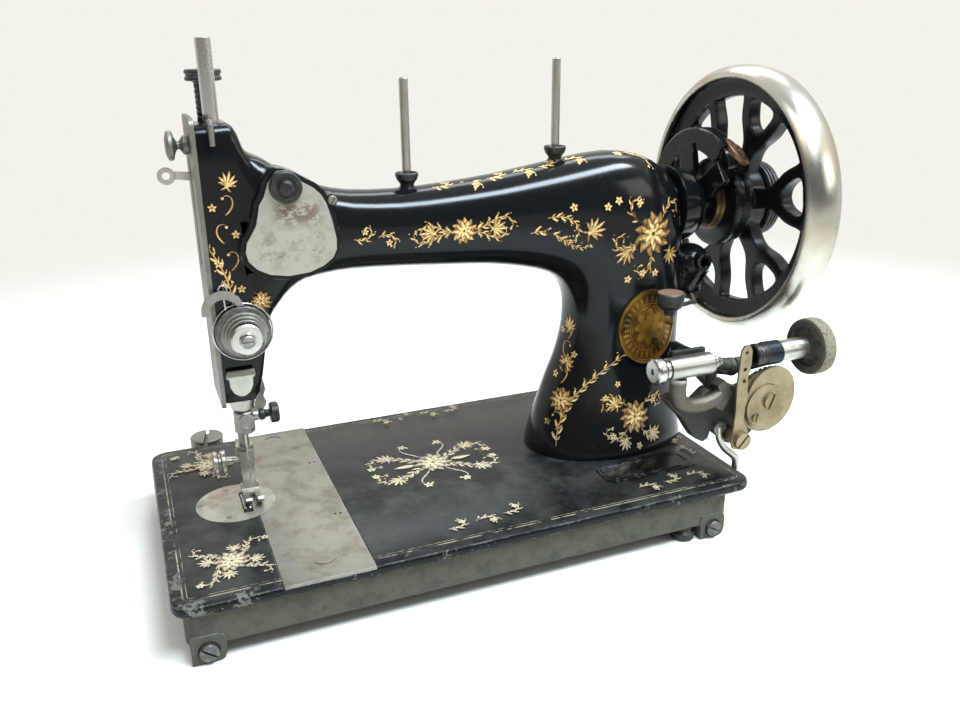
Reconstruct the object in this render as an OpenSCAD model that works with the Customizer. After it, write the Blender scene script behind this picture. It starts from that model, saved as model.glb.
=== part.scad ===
// Old hand or treadle sewing machine head with a vibrating shuttle.
// Axes: X along the bed towards the handwheel, Y to the back, Z up.
// Origin: on the plane the machine rests on, at the middle of its outline in plan.
// The modules are drawn with X = 0 halfway along the bed and Y = 0 in the plane of
// the needle bar and the main shaft, and at_frame() puts them on the origin.
// All sizes are in millimetres.

/* [Bed] */
// length of the bed
bed_l = 330; // [300:1:380]
// distance from the needle plane to the front edge of the bed
bed_front = 93; // [80:1:110]
// distance from the needle plane to the back edge of the bed
bed_back = 88; // [75:1:105]
// height of the bed's top face above the rest plane
bed_top = 34; // [28:1:45]
// thickness of the bed plate
bed_plate = 6; // [4:0.5:8]
// height of the lower edge of the bed's skirt
skirt_z = 9.5; // [6:0.5:14]
// thickness of the skirt wall
skirt_t = 4; // [3:0.5:6]
// radius of the bed's corners in plan
bed_r = 10; // [6:1:16]

/* [Needle] */
// X of the needle bar
needle_x = -113.4; // [-120:0.1:-105]
// radius of the needle bar
nbar_r = 3.8; // [3:0.1:4.5]
// top of the needle bar in its highest position
nbar_top = 282.5; // [270:0.5:295]
// bottom of the needle bar in its highest position
nbar_bot = 78; // [70:0.5:90]
// stroke of the needle bar
stroke = 30; // [26:1:40]
// Y of the presser bar
press_y = 16.5; // [15:0.5:19]
// radius of the presser bar
press_r = 3; // [2.5:0.1:3.5]

/* [Plates] */
// radius of the needle plate
nplate_r = 22; // [18:0.5:25]
// X of the needle plate's centre
nplate_x = -122.7; // [-126:0.1:-118]
// thickness of the needle plate and slide plates
plate_t = 1.7; // [1.2:0.1:2.2]
// left edge of the slide plates
slide_x0 = -112.4; // [-116:0.1:-108]
// right edge of the slide plates
slide_x1 = -66.8; // [-72:0.1:-62]
// travel of the feed dog to each side
feed_travel = 2.5; // [1.5:0.1:3]

/* [Shaft] */
// height of the main shaft's axis
shaft_z = 182.5; // [175:0.5:190]
// radius of the main shaft
shaft_r = 6; // [5:0.5:8]
// radius of the bore through the arm
arm_bore = 11; // [9:0.5:12]

/* [Head] */
// X of the head casting's flat left side
head_x = -123; // [-126:0.5:-120]
// front face of the head
head_front = 14; // [12:0.5:16]
// back face of the head
head_back = 26; // [22:0.5:30]
// top of the head
head_top = 243.5; // [235:0.5:250]
// bottom of the head
head_bot = 98; // [92:0.5:105]
// thickness of the face plate
face_t = 2.2; // [1.5:0.1:3]

/* [Cover] */
// front face of the raised seat behind the arm cover
seat_y = -20; // [-22:0.5:-18]
// thickness of the arm cover
cover_t = 1.5; // [1:0.1:2]
// X of the cover's pivot
cover_px = -84; // [-88:0.5:-80]
// Z of the cover's pivot
cover_pz = 213; // [210:0.5:216]

/* [Handwheel] */
// outer radius of the handwheel
wheel_r = 82.5; // [75:0.5:90]
// X of the middle of the handwheel's rim
wheel_x = 207; // [200:0.5:212]
// width of the handwheel's rim
rim_w = 24; // [18:0.5:28]
// radius inside the plated rim
rim_in = 75; // [70:0.5:78]
// inner radius of the black ring inside the rim
web_in = 64; // [58:0.5:68]
// number of forked spokes
spokes = 6; // [5:1:8]
// thickness of the spokes
spoke_t = 8; // [6:0.5:10]

/* [Bobbin winder] */
// Y of the winder's spindle
wind_y = -78; // [-84:0.5:-72]
// Z of the winder's spindle
wind_z = 107; // [100:0.5:112]
// Y of the winder's hinge
hinge_y = -36; // [-40:0.5:-30]
// Z of the winder's hinge
hinge_z = 88; // [84:0.5:96]
// outer radius of the winder's rubber tyre
tyre_r = 17; // [14:0.5:19]

/* [Fits] */
// gap between pieces that move past each other
gap = 0.3; // [0.25:0.05:0.5]
// radial clearance of a shaft that runs in a hole
run = 0.05; // [0.01:0.01:0.1]

/* [Hidden] */
$fn = 48;

slide_z = bed_top - plate_t;
shaft_end = 229;
disc_y = bed_back + 11;
disc_r = 10.4;
mid_x = (shaft_end - bed_l / 2) / 2;
mid_y = (wind_y - tyre_r + disc_y + disc_r) / 2;
nplate_seat = bed_top - plate_t;
slot_x0 = needle_x - 6.8;
slot_x1 = needle_x - 1.4;
slot_y0 = -13;
slot_y1 = 12;
skirt_x0 = -bed_l / 2 + 5;
skirt_x1 = bed_l / 2 - 14;
skirt_y0 = -bed_front + 3;
skirt_y1 = bed_back - 3;
lug_xs = [skirt_x0 + 9.7, skirt_x1 - 12];
lug_w = 16.5;
lug_screw_r = 4.7;
lug_screw_z = 6.6;
lug_h = skirt_z + 6;
pin_xs = [-14.3, 75.4];
pin_tops = [262.4, 270.8];
pin_r = 2.4;
cup_zs = [205.8, 215.4];
cup_h = 7.4;
throw = stroke / 2;
crank_r = 15.9;
crank_x0 = -98;
crank_x1 = -90;
pin_tip = -104.4;
link_x0 = -107.4;
link_x1 = -105;
link_len = 36;
stud_z = shaft_z + throw - link_len;
tup_x = -101;
tup_z = 206;
tup_y = 10;
tup_t = 3;
eye_x = -137.2;
eye_z = 217.5;
tens_x = -110.6;
tens_z = 139.6;
tens_r = 14.2;
rock_z = 100;
rock_x0 = 104;
rock_x1 = 110;
rock_pin = 3;
ecc_off = 2.5;
ecc_r = 9;
fork_in = ecc_r + 2 * ecc_off + gap;
arm_piv_x = 92;
bolt_xs = [arm_piv_x - 16, skirt_x1 - 15];
arm_tail = 15.5;
shuttle_x = -87;
shuttle_r = 5;
shuttle_z = slide_z - gap - 0.4 - shuttle_r;
collar_z = 124.4;
lift_x = -106;
lift_z = 120;
reg_x = 169;
reg_y = -9;
screw_y = 2;
screw_z = 233;
stop_x = -60.6;
stop_z = 204.6;
piv_r = 3;
spin_r = 3;
tube_r = 6.4;
cam_x = 176.4;
cam_z = 79.5;
cam_y = wind_y - 3;
gear_r = 20;
worm_r = 7.1;
gl_x = 156.4;
gl_z = 59;
hinge_x0 = 146;
hinge_x1 = 170;
hinge_r = 3;

black = [0.03, 0.03, 0.035];
nickel = [0.72, 0.71, 0.68];
steel = [0.55, 0.54, 0.52];
brassc = [0.72, 0.52, 0.22];
darkc = [0.12, 0.12, 0.12];

// ---- helpers ----
module at_frame() translate([-mid_x, -mid_y, 0]) children();
module along_x(x, y, z) translate([x, y, z]) rotate([0, 90, 0]) children();
module along_y(x, y, z) translate([x, y, z]) rotate([-90, 0, 0]) children();
module front_y(x, y, z) translate([x, y, z]) rotate([90, 0, 0]) children();
module rod_x(x0, x1, y, z, r) along_x(x0, y, z) cylinder(r = r, h = x1 - x0);
module rod_y(y0, y1, x, z, r) along_y(x, y0, z) cylinder(r = r, h = y1 - y0);
module rod_z(z0, z1, x, y, r) translate([x, y, z0]) cylinder(r = r, h = z1 - z0);
// a straight round bar between two points
module bar(a, b, r1, r2) {
  d = b - a;
  l = norm(d);
  translate(a) rotate([0, acos(d[2] / l), atan2(d[1], d[0])]) cylinder(r1 = r1, r2 = r2, h = l);
}
// a plate in the XZ plane between y0 and y1
module xz_plate(y0, y1) translate([0, y1, 0]) rotate([90, 0, 0]) linear_extrude(y1 - y0) children();
// a plate in the YZ plane between x0 and x1, drawn with Y across and Z up
module yz_plate(x0, x1) translate([x0, 0, 0]) rotate([90, 0, 90]) linear_extrude(x1 - x0) children();
module slot_cut(r, w, d) translate([-r - 1, -w / 2, -d]) cube([2 * r + 2, w, d + 1]);
// a slotted cheese-head screw standing on z = 0 with its shank below
module cheese(r, h, shank_r, shank_l, ang) {
  difference() {
    union() {
      rotate_extrude() polygon([[0, 0], [r, 0], [r, h - 0.5], [r - 0.5, h], [0, h]]);
      translate([0, 0, -shank_l]) cylinder(r = shank_r, h = shank_l + 0.1);
    }
    translate([0, 0, h]) rotate([0, 0, ang]) slot_cut(r, r * 0.22, h * 0.45);
  }
}
// a round bar swept along points [x, z, radius] in the XZ plane, smoothed between them
module sweep_xz(path, parts, sides) {
  n = len(path);
  at = function(i) path[max(0, min(n - 1, i))];
  sm = [for (i = [0:n - 2]) for (j = [0:parts - 1])
    cr(at(i - 1), at(i), at(i + 1), at(i + 2), j / parts), path[n - 1]];
  m = len(sm);
  pts = [for (i = [0:m - 1]) let (a = sm[max(0, i - 1)], b = sm[min(m - 1, i + 1)],
      l = norm([b[0] - a[0], b[1] - a[1]]), nx = -(b[1] - a[1]) / l, nz = (b[0] - a[0]) / l)
    for (k = [0:sides - 1]) let (q = 360 * k / sides, w = sm[i][2])
      [sm[i][0] + nx * w * cos(q), w * sin(q), sm[i][1] + nz * w * cos(q)]];
  tri = [for (i = [0:m - 2], k = [0:sides - 1]) let (e = (k + 1) % sides,
      a = i * sides + k, b = i * sides + e, c = (i + 1) * sides + e, d = (i + 1) * sides + k)
    each [[a, b, c], [a, c, d]]];
  polyhedron(points = pts, faces = concat(tri, [[for (k = [0:sides - 1]) k]],
    [[for (k = [sides - 1:-1:0]) (m - 1) * sides + k]]));
}
module oval(a, b) polygon([for (t = [0:5:355]) [a * cos(t), b * sin(t)]]);
module rounded_slab(x0, x1, y0, y1, r) {
  translate([x0 + r, y0]) square([x1 - x0 - 2 * r, y1 - y0]);
  translate([x0, y0 + r]) square([x1 - x0, y1 - y0 - 2 * r]);
  for (x = [x0 + r, x1 - r], y = [y0 + r, y1 - r]) translate([x, y]) circle(r = r);
}
// a wire coil of given end radii, height, turns and wire radius, wound about Z
module coil(ra, rb, h, turns, w, seg, sides) {
  n = ceil(turns * seg);
  pts = [for (i = [0:n]) let (t = i / n, a = 360 * turns * t, r = ra + (rb - ra) * t)
    for (k = [0:sides - 1]) let (q = 360 * k / sides, d = r + w * cos(q))
      [d * cos(a), d * sin(a), w + (h - 2 * w) * t + w * sin(q)]];
  side = [for (i = [0:n - 1], k = [0:sides - 1]) let (m = (k + 1) % sides)
    [i * sides + k, (i + 1) * sides + k, (i + 1) * sides + m, i * sides + m]];
  tri = [for (f = side) each [[f[0], f[2], f[1]], [f[0], f[3], f[2]]]];
  polyhedron(points = pts, faces = concat(tri, [[for (k = [0:sides - 1]) k]],
    [[for (k = [sides - 1:-1:0]) n * sides + k]]));
}

// ---- the arm's swept body ----
// Each station: inner point (x, z), outer point (x, z), half depth, centre y, squareness.
hb = (head_front + head_back) / 2;
hc = (head_back - head_front) / 2;
stations = [
  [head_x, head_bot, head_x, head_top - 0.5, hb, hc, 9],
  [-107.5, head_bot, -107.5, head_top, hb, hc, 9],
  [-104.8, head_bot + 3, -104.8, head_top - 1.5, hb, hc, 8],
  [-102.2, head_bot + 12, -102.8, head_top - 5, hb, hc, 7],
  [-99, 127, -100.6, 231.5, hb, hc - 1, 6],
  [-95.8, 141, -97, 227.8, hb, hc - 2, 4.6],
  [-91, 149, -91, 225, hb + 0.5, hc - 4, 3.8],
  [-84, 156.5, -82, 219, hb + 0.5, hc - 5, 3.2],
  [-76, 161, -73, 213.8, 20.3, 0.7, 2.8],
  [-65, 163, -63, 209.6, 19.4, 0.3, 2.6],
  [-50, 163.9, -48, 206.2, 18.8, 0, 2.4],
  [-25, 162.8, -22, 204.9, 18.6, 0, 2.3],
  [5, 160.7, 8, 206.4, 19.6, 0, 2.3],
  [30, 158.7, 36, 209.1, 21, 0, 2.3],
  [52, 155, 62, 212.8, 22.6, 0, 2.35],
  [68, 150.5, 86, 216.4, 24.4, 0, 2.4],
  [78, 144.5, 108, 218.5, 26, 0, 2.4],
  [83.5, 136.5, 128, 216, 27, 0, 2.4],
  [85.8, 128, 144.5, 208, 27, 0, 2.4],
  [86, 119, 154.5, 196, 26.6, 0, 2.4],
  [85, 109, 160, 178, 26, 0, 2.4],
  [82.5, 99, 162, 155, 25.6, 0, 2.4],
  [79, 89, 162.5, 130, 25.6, 0, 2.4],
  [74, 78, 162.5, 108, 26.2, 0, 2.4],
  [69.5, 67, 163, 85, 27.8, 0, 2.3],
  [65.5, 56, 164, 65, 30.4, 0, 2.2],
  [62.6, 46, 166, 50, 33.6, 0, 2.15],
  [61, 38.5, 168, 39.5, 37, 0, 2.1],
  [60.6, bed_top, 168.4, bed_top, 38, 0, 2.1]];
function mix(a, b, t) = a + (b - a) * t;
function cr(a, b, c, d, t) =
  0.5 * ((2 * b) + (c - a) * t + (2 * a - 5 * b + 4 * c - d) * t * t
  + (3 * b - a - 3 * c + d) * t * t * t);
ns = len(stations);
function st(i) = stations[max(0, min(ns - 1, i))];
sub = 2;
head_keep = 3;
// stations up to head_keep stay sharp, the others are smoothed between
rows = [for (i = [0:ns - 2]) for (j = [0:(i < head_keep ? 0 : sub - 1)])
  i < head_keep ? st(i) : cr(st(i - 1), st(i), st(i + 1), st(i + 2), j / sub), st(ns - 1)];
arm_n = 44;
function spow(v, p) = sign(v) * pow(abs(v), p);
function ring(s) = [for (k = [0:arm_n - 1]) let (a = 360 * (k + 0.5) / arm_n,
    u = spow(cos(a), 2 / s[6]), v = spow(sin(a), 2 / s[6]),
    mx = (s[0] + s[2]) / 2, mz = (s[1] + s[3]) / 2)
  [mx + u * (s[2] - s[0]) / 2, s[5] + v * s[4], mz + u * (s[3] - s[1]) / 2]];
module loft(rs) {
  nr = len(rs);
  pts = [for (s = rs) each ring(s)];
  tri = [for (i = [0:nr - 2], k = [0:arm_n - 1]) let (m = (k + 1) % arm_n,
      a = i * arm_n + k, b = i * arm_n + m, c = (i + 1) * arm_n + m, d = (i + 1) * arm_n + k)
    each [[a, b, c], [a, c, d]]];
  polyhedron(points = pts, faces = concat(tri, [[for (k = [arm_n - 1:-1:0]) k]],
    [[for (k = [0:arm_n - 1]) (nr - 1) * arm_n + k]]));
}
// outline of the arm cover, x and z
cover_pts = [[cover_px - 8.4, cover_pz + 2], [-94.6, 208.8], [-97.4, 204.6], [-98.5, 199.5], [-99.6, 195],
  [-102.4, 190.4], [-105, 186.4], [-106, 181.5], [-104.8, 177], [-101, 172.8], [-95, 169.6],
  [-85.4, 168], [-75, 168.9], [-67.6, 171.6], [-62.4, 175.4], [-60.2, 179.6], [-60, 185],
  [-61.6, 194.6], [-64, 203.4], [-66.4, 208], [-70, 211.6], [-75.6, 215],
  [cover_px + 2, cover_pz + 8], [cover_px - 3.6, cover_pz + 7.8]];
module cover_shape(d) offset(delta = d) polygon(cover_pts);
// line along the top of the arm that ends the cover's seat
seat_top = [[-115, 150], [-115, 228], [-92, 223.4], [cover_px, cover_pz + 8.8], [-78, 219.4], [-72, 215.6],
  [-64, 211.6], [-50, 207.5], [-50, 150]];

module bed() color(black) at_frame() difference() {
  union() {
    hull() for (x = [-bed_l / 2 + bed_r, bed_l / 2 - bed_r], y = [-bed_front + bed_r, bed_back - bed_r])
      translate([x, y, bed_top - bed_plate]) rotate_extrude($fn = 28)
        polygon([[0, 0], [bed_r - 0.8, 0], [bed_r, 1.2], [bed_r, bed_plate - 2.4],
          [bed_r - 0.7, bed_plate - 0.8], [bed_r - 2.4, bed_plate], [0, bed_plate]]);
    translate([0, 0, skirt_z]) linear_extrude(bed_top - bed_plate - skirt_z + 0.5) difference() {
      rounded_slab(skirt_x0, skirt_x1, skirt_y0, skirt_y1, 8);
      rounded_slab(skirt_x0 + skirt_t, skirt_x1 - skirt_t, skirt_y0 + skirt_t, skirt_y1 - skirt_t, 5);
    }
    // lugs at the four corners
    for (x = lug_xs, y = [skirt_y0 - 0.6, skirt_y1 - 12.4]) translate([x, 0, 0]) xz_plate(y, y + 13)
      polygon([[-lug_w / 2, 0], [lug_w / 2 - 4, 0], [lug_w / 2 - 1.2, 1.2], [lug_w / 2, 4], [lug_w / 2,
      lug_h - 3.6],
        [lug_w / 2 - 1, lug_h - 1.2], [lug_w / 2 - 3, lug_h], [-lug_w / 2, lug_h]]);
    // lug behind the back edge that carries the clamp disc
    translate([-136, bed_back - 6, bed_top - 13]) cube([14, 18, 6.5]);
    // lug that guides the feed dog's carrier
    translate([skirt_x0 + 1, -9, 13]) cube([38, 18, 7]);
    // boss under the bed for the shuttle arm's pivot and the stiffening ribs
    rod_z(skirt_z + 12, bed_top - bed_plate + 0.5, arm_piv_x, 0, 8);
    for (x = [-30, 30]) translate([x - 2, skirt_y0 + 2, skirt_z + 12]) cube([4, skirt_y1 - skirt_y0 - 4, 7]);
  }
  // recess and opening for the needle plate
  rod_z(nplate_seat, bed_top + 1, nplate_x, 0.9, nplate_r);
  rod_z(bed_top - bed_plate - 1, bed_top, nplate_x, 0.9, nplate_r - 4);
  // track of the slide plates and the shuttle race
  translate([slide_x0 - gap, -bed_front - 1, slide_z - gap])
    cube([slide_x1 - slide_x0 + 2 * gap, bed_front + bed_back + 2, plate_t + gap + 1]);
  translate([-100, -60, bed_top - bed_plate - 1]) cube([28, 120, bed_plate + 2]);
  // way for the rocker under the pillar
  translate([arm_piv_x + 9, -12, bed_top - bed_plate - 1]) cube([18, 24, bed_plate + 2]);
  // recesses behind the heads of the lug screws
  for (x = lug_xs) {
    rod_y(skirt_y0 - 2, skirt_y0 + 1.4, x, lug_screw_z, lug_screw_r + 0.5);
    rod_y(skirt_y0 - 2, skirt_y0 + 7, x, lug_screw_z, 2.5);
  }
  // holes for the arm bolts
  for (x = bolt_xs) rod_z(bed_top - bed_plate - 1, bed_top + 1, x, 0, 3.5);
  // pivot hole of the shuttle arm, and the clamp disc's hole
  rod_z(skirt_z + 11, bed_top - 3, arm_piv_x, 0, piv_r);
  rod_z(bed_top - 14, bed_top - 5, -129, disc_y, 3);
}
module bed_screws() color(steel) at_frame() {
  for (x = bolt_xs) translate([x, 0, bed_top - bed_plate])
    rotate([180, 0, 0]) cheese(6.5, 4.5, 3.5, bed_plate + 13, 20);
  for (i = [0, 1]) front_y(lug_xs[i], skirt_y0 + 1.4, lug_screw_z)
    cheese(lug_screw_r, 4.4, 2.5, 5, i == 0 ? -38 : -30);
}
module foot_pads() color(darkc) at_frame() for (y = [skirt_y0 + 7, skirt_y1 - 7])
  translate([lug_xs[1] - lug_w / 2 - gap - 7, y, 0])
    rotate_extrude() polygon([[0, 0], [6, 0], [7, 0.9], [7, 4.6], [5.6, 6.2], [5.6, skirt_z], [0, skirt_z]]);
module rear_clamp_disc() color(steel) at_frame() translate([-129, disc_y, bed_top - 6.5])
  cheese(disc_r, 7.5, 3, 6, 80);
module needle_plate() color(nickel) at_frame() difference() {
  rod_z(nplate_seat, bed_top, nplate_x, 0.9, nplate_r);
  translate([slot_x0, slot_y0, nplate_seat - 1]) cube([slot_x1 - slot_x0, slot_y1 - slot_y0, plate_t + 2]);
  rod_z(nplate_seat - 1, bed_top + 1, needle_x, 0, 0.8);
  for (y = [-15, 16.5]) rod_z(nplate_seat + 1, bed_top + 1, nplate_x + (y > 0 ? -4 : -6), y, 1.6);
}
module slide_shape(y0, y1) difference() {
  translate([slide_x0, y0]) square([slide_x1 - slide_x0, y1 - y0]);
  translate([nplate_x, 0.9]) circle(r = nplate_r + gap);
}
// a flat slide plate with a crescent finger catch at c and its hold-down spring below
module slide_plate(y0, y1, c, dir) color(nickel) at_frame() {
  difference() {
    translate([0, 0, slide_z]) linear_extrude(plate_t) slide_shape(y0, y1);
    translate([-89, c, bed_top]) difference() {
      translate([0, 0, -0.6]) cylinder(r = 6, h = 2);
      translate([0, -2 * dir, -1]) cylinder(r = 6.3, h = 3);
    }
    for (x = [slide_x1 - 7, slide_x1 - 4]) rod_z(slide_z - 1, bed_top + 1, x, -34 * dir * -1, 0.9);
  }
}
module front_slide_plate() slide_plate(-bed_front, -gap / 2 - 0.6, -bed_front + 17, -1);
module rear_slide_plate() slide_plate(gap / 2 - 0.6, bed_back, bed_back - 12, 1);
module serial_plate() color(black) at_frame() translate([115, -53, bed_top]) rotate([0, 0, 0]) {
  difference() {
    union() {
      linear_extrude(0.8) rounded_slab(-31, 31, -11, 11, 6);
      translate([0, 0, 0.8]) linear_extrude(0.6) rounded_slab(-29, 29, -9, 9, 5);
    }
    translate([0, 0, 1]) linear_extrude(1) rounded_slab(-26, 26, -6, 6, 3);
  }
}

module arm() color(black) at_frame() difference() {
  union() {
    loft(rows);
    // raised seat of the arm cover
    xz_plate(seat_y, -6) intersection() {
      cover_shape(2.6);
      polygon(seat_top);
    }
    rod_y(seat_y, -9, stop_x, stop_z, 3);
    // seats of the spool pins
    for (i = [0, 1]) rod_z(cup_zs[i] - 9, cup_zs[i], pin_xs[i], 0, 4.4);
    // housing of the stitch regulator and the seat of the winder's bracket
    translate([168, -8, 146]) sphere(r = 13);
    bar([160, -4, 126], [169, -9, 147], 9, 12.6);
    rod_z(128.6, 133, reg_x, reg_y, 7);
    rod_y(-24.4, -14, 168, 150, 5);
    rod_y(hinge_y + 10, -8, 156, hinge_z, 9.5);
    // boss at the shaft's outer end
    along_x(152, 0, shaft_z) rotate_extrude() polygon([[0, 0], [25, 0], [22, 12], [19, 17], [17.5, 19], [0,
      19]]);
  }
  // room inside the head, open to the face plate
  translate([head_x - 1, -head_front + 5, head_bot + 5])
    cube([-head_x - 105.5 + 1, head_front + head_back - 9, 226 - head_bot - 5]);
  // room for the crank, link and take-up lever
  rod_x(-106, -62, 0, shaft_z, crank_r + 3.4);
  translate([-108, -6, 118]) cube([9, 12, 90]);
  translate([-110, tup_y - 3.5, 196]) cube([16, 7, 19]);
  xz_plate(seat_y - 1, -8) translate([-1.7, -0.3]) cover_shape(-1.6);
  // bore through the arm
  rod_x(-70, 180, 0, shaft_z, arm_bore);
  // room for the rocker and the eccentric
  translate([97, -20.4, 140]) cube([20, 40.8, 60]);
  translate([97, -14, bed_top - 1]) cube([20, 28, 120]);
  // holes of the needle bar, presser bar and their bushings
  rod_z(220, head_top + 2, needle_x, 0, nbar_r + run);
  rod_z(head_bot - 2, head_bot + 8, needle_x, 0, 6.4);
  rod_z(220, head_top + 2, needle_x, press_y, 5 + run);
  rod_z(head_bot - 2, head_bot + 8, needle_x, press_y, press_r + run);
  // holes for studs and screws
  rod_x(head_x - 1, -119, screw_y, screw_z, 2.5);
  rod_y(-head_front - 2, -head_front + 6, tens_x, tens_z, 2.5);
  rod_y(8, head_back + 2, lift_x, lift_z, 2.5 + run);
  rod_y(12, 19, tup_x, tup_z, 2.4);
  rod_y(seat_y - 1, -8, cover_px, cover_pz, 3);
  rod_y(seat_y - 2, -10, stop_x, stop_z, 1.6);
  for (i = [0, 1]) rod_z(cup_zs[i] - 8, cup_zs[i] + 1, pin_xs[i], 0, stem_r);
  for (x = bolt_xs) rod_z(bed_top - 1, bed_top + 14, x, 0, 3.5);
  rod_x(84, 124, 0, rock_z, 3);
  rod_z(120, 134, reg_x, reg_y, 2.5);
  rod_y(-25, -16, 168, 150, 3.2);
  // room for the regulator's hub
  rod_z(116, 128.3 + gap, reg_x, reg_y, 6.6);
  // stud bores of the thread guides and flat seats behind the badge
  rod_y(-16, -9, -114.2, 111, 1.5);
  rod_z(head_top - 8, head_top + 2, -115.6, -head_front + 3, 1.5);
}
badge_x = 129;
badge_z = 114.3;
// the pillar's surface behind the badge, and the same surface moved out by d
badge_rows = [for (w = rows) if (w[1] < 112 && w[1] > 62) w];
function grown(d) = [for (w = badge_rows) [w[0], w[1], w[2], w[3], w[4] + d, w[5], w[6]]];
module badge_layer(d, a, b) intersection() {
  loft(grown(d));
  xz_plate(-40, -12) translate([badge_x, badge_z]) oval(a, b);
}
module badge() color(brassc) at_frame() difference() {
  union() {
    badge_layer(1.2, 20, 22.3);
    difference() {
      badge_layer(1.8, 21, 23.3);
      xz_plate(-41, -11) translate([badge_x, badge_z]) oval(19.4, 21.7);
    }
    rod_y(-27.4, -25.6, badge_x - 16.8, badge_z, 1.4);
    rod_y(-26, -23.9, badge_x + 16.4, badge_z, 1.4);
  }
  loft(badge_rows);
}
module face_plate() color(nickel) at_frame() difference() {
  union() {
    yz_plate(head_x - face_t, head_x) rounded_slab(-head_front, head_back, head_bot - 1, head_top + 3, 4);
    rod_x(head_x - face_t - 0.6, head_x - face_t + 0.2, tup_y, 200, 2);
  }
  yz_plate(head_x - face_t - 1, head_x + 1) rounded_slab(tup_y - tup_t / 2 - 1.2, tup_y + tup_t / 2 + 1.2,
    170, 226, 2.5);
  rod_x(head_x - face_t - 1, head_x + 1, screw_y, screw_z, 2.5 + run);
}
module face_plate_screw() color(steel) at_frame() along_x(0, screw_y, screw_z) {
  translate([0, 0, -119.2]) mirror([0, 0, 1]) rotate_extrude() polygon([[0, 0], [2.5, 0],
    [2.5, -119.2 - head_x + face_t + gap], [4.6, -119.2 - head_x + face_t + gap], [4.6, 8.6], [3.4, 9.4],
    [2, 10.4], [2.1, 11.6], [3.8, 12.6], [6.6, 13.4], [7.2, 14], [7.2, 15.6], [6.6, 16.2], [4, 17], [0,
      17.2]]);
}
module arm_cover() color(nickel) at_frame() difference() {
  xz_plate(seat_y - gap - cover_t, seat_y - gap) cover_shape(0);
  rod_y(seat_y - 4, seat_y + 1, cover_px, cover_pz, 3 + run);
}
module arm_cover_knob() color(darkc) at_frame() front_y(cover_px, seat_y + 6, cover_pz)
  rotate_extrude() polygon([[0, 0], [3, 0], [3, 6 + 2 * gap + cover_t], [8, 6 + 2 * gap + cover_t],
    [8, 11], [7.4, 11.8], [5.4, 11.8], [5, 11.2], [4.2, 11.2], [3.6, 12.8], [2.4, 13.4], [0, 13.6]]);
// the pins' stems, thinner in the cups and the arm than above them
stem_r = pin_r - 0.2;
module spool_pins() color(nickel) at_frame() for (i = [0, 1]) translate([pin_xs[i], 0, cup_zs[i]])
  rotate_extrude() polygon([[0, -8], [stem_r, -8], [stem_r, cup_h + 0.6], [pin_r, cup_h + 0.8],
    [pin_r, pin_tops[i] - cup_zs[i] - 0.8], [pin_r - 0.8, pin_tops[i] - cup_zs[i]], [0,
      pin_tops[i] - cup_zs[i]]]);
module spool_cups() color(darkc) at_frame() for (i = [0, 1]) translate([pin_xs[i], 0, cup_zs[i]])
  rotate_extrude() polygon([[stem_r, 0], [3.6, 0], [4, 1.6], [5.6, 3.6], [6.3, 5.6], [6.3, cup_h - 0.4],
    [5.8, cup_h], [5.2, cup_h - 0.8], [4, cup_h - 2], [stem_r, cup_h - 2.4]]);
module top_thread_guide() color(nickel) at_frame() {
  rod_z(head_top - 8, head_top + 1.5, -115.6, -head_front + 3, 1.5);
  bar([-115.6, -head_front + 3, head_top + 1], [-115.6, -head_front - 1.9, head_top - 0.4], 1.5, 1.5);
  bar([-115.6, -head_front - 1.8, head_top + 0.3], [-115.6, -head_front - 1.6, head_top - 10], 1.45, 1.35);
}
module tension_stud() color(steel) at_frame() front_y(tens_x, -head_front - 18.4 - gap, tens_z)
  cheese(3.3, 1.8, 2.4, 24.4 + gap, 0);
module tension_discs() color(nickel) at_frame() for (i = [0, 1]) front_y(tens_x,
  -head_front - 0.4 - 2.6 * i, tens_z)
  rotate_extrude() polygon(i == 0
    ? [[2.4, 0.2], [9, 0.2], [tens_r - 0.6, 1.8], [tens_r, 2.4], [tens_r - 1.6, 2.4], [9, 1.3], [2.4, 1.3]]
    : [[2.4, 1], [8.6, 1], [tens_r - 1.6, 0.1], [tens_r, 0.1], [tens_r - 0.6, 0.9], [8.6, 2.1], [2.4, 2.1]]);
module tension_spring() color(steel) at_frame() front_y(tens_x, -head_front - 5.3, tens_z)
  coil(11.4, 7.6, 9.4, 3, 0.95, 24, 6);
module tension_nut() color(nickel) at_frame() front_y(tens_x, -head_front - 15, tens_z)
  rotate_extrude() polygon([[2.4 + run, 0], [7.6, 0], [8.3, 0.7], [8.3, 1.8], [7.4, 2.5], [4.2, 2.5],
    [3.8, 3.4], [2.4 + run, 3.4]]);
module check_spring() color(nickel) at_frame() {
  front_y(tens_x, -head_front - 1.55, tens_z) rotate_extrude()
    translate([tens_r + 0.9, 0]) circle(r = 0.5, $fn = 16);
  bar([-118.2, -head_front - 1.55, tens_z + 12.5], [-118.6, -head_front - 1.55, 161], 0.55, 0.5);
  front_y(-118.6, -head_front - 1.45, 163) rotate_extrude() translate([2, 0]) circle(r = 0.5, $fn = 16);
}
module thread_hook() color(nickel) at_frame() {
  xz_plate(-head_front - 3.6, -head_front - 2.2) difference() {
    translate([-119.6, 152]) circle(r = 10.6);
    translate([-119.2, 151]) circle(r = 7.2);
    translate([-135, 130]) square([30, 20.2]);
    translate([-112.6, 148]) square([8, 6]);
  }
  rod_y(-head_front - 3.4, -head_front, -112.4, 157.6, 1.7);
}
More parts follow.
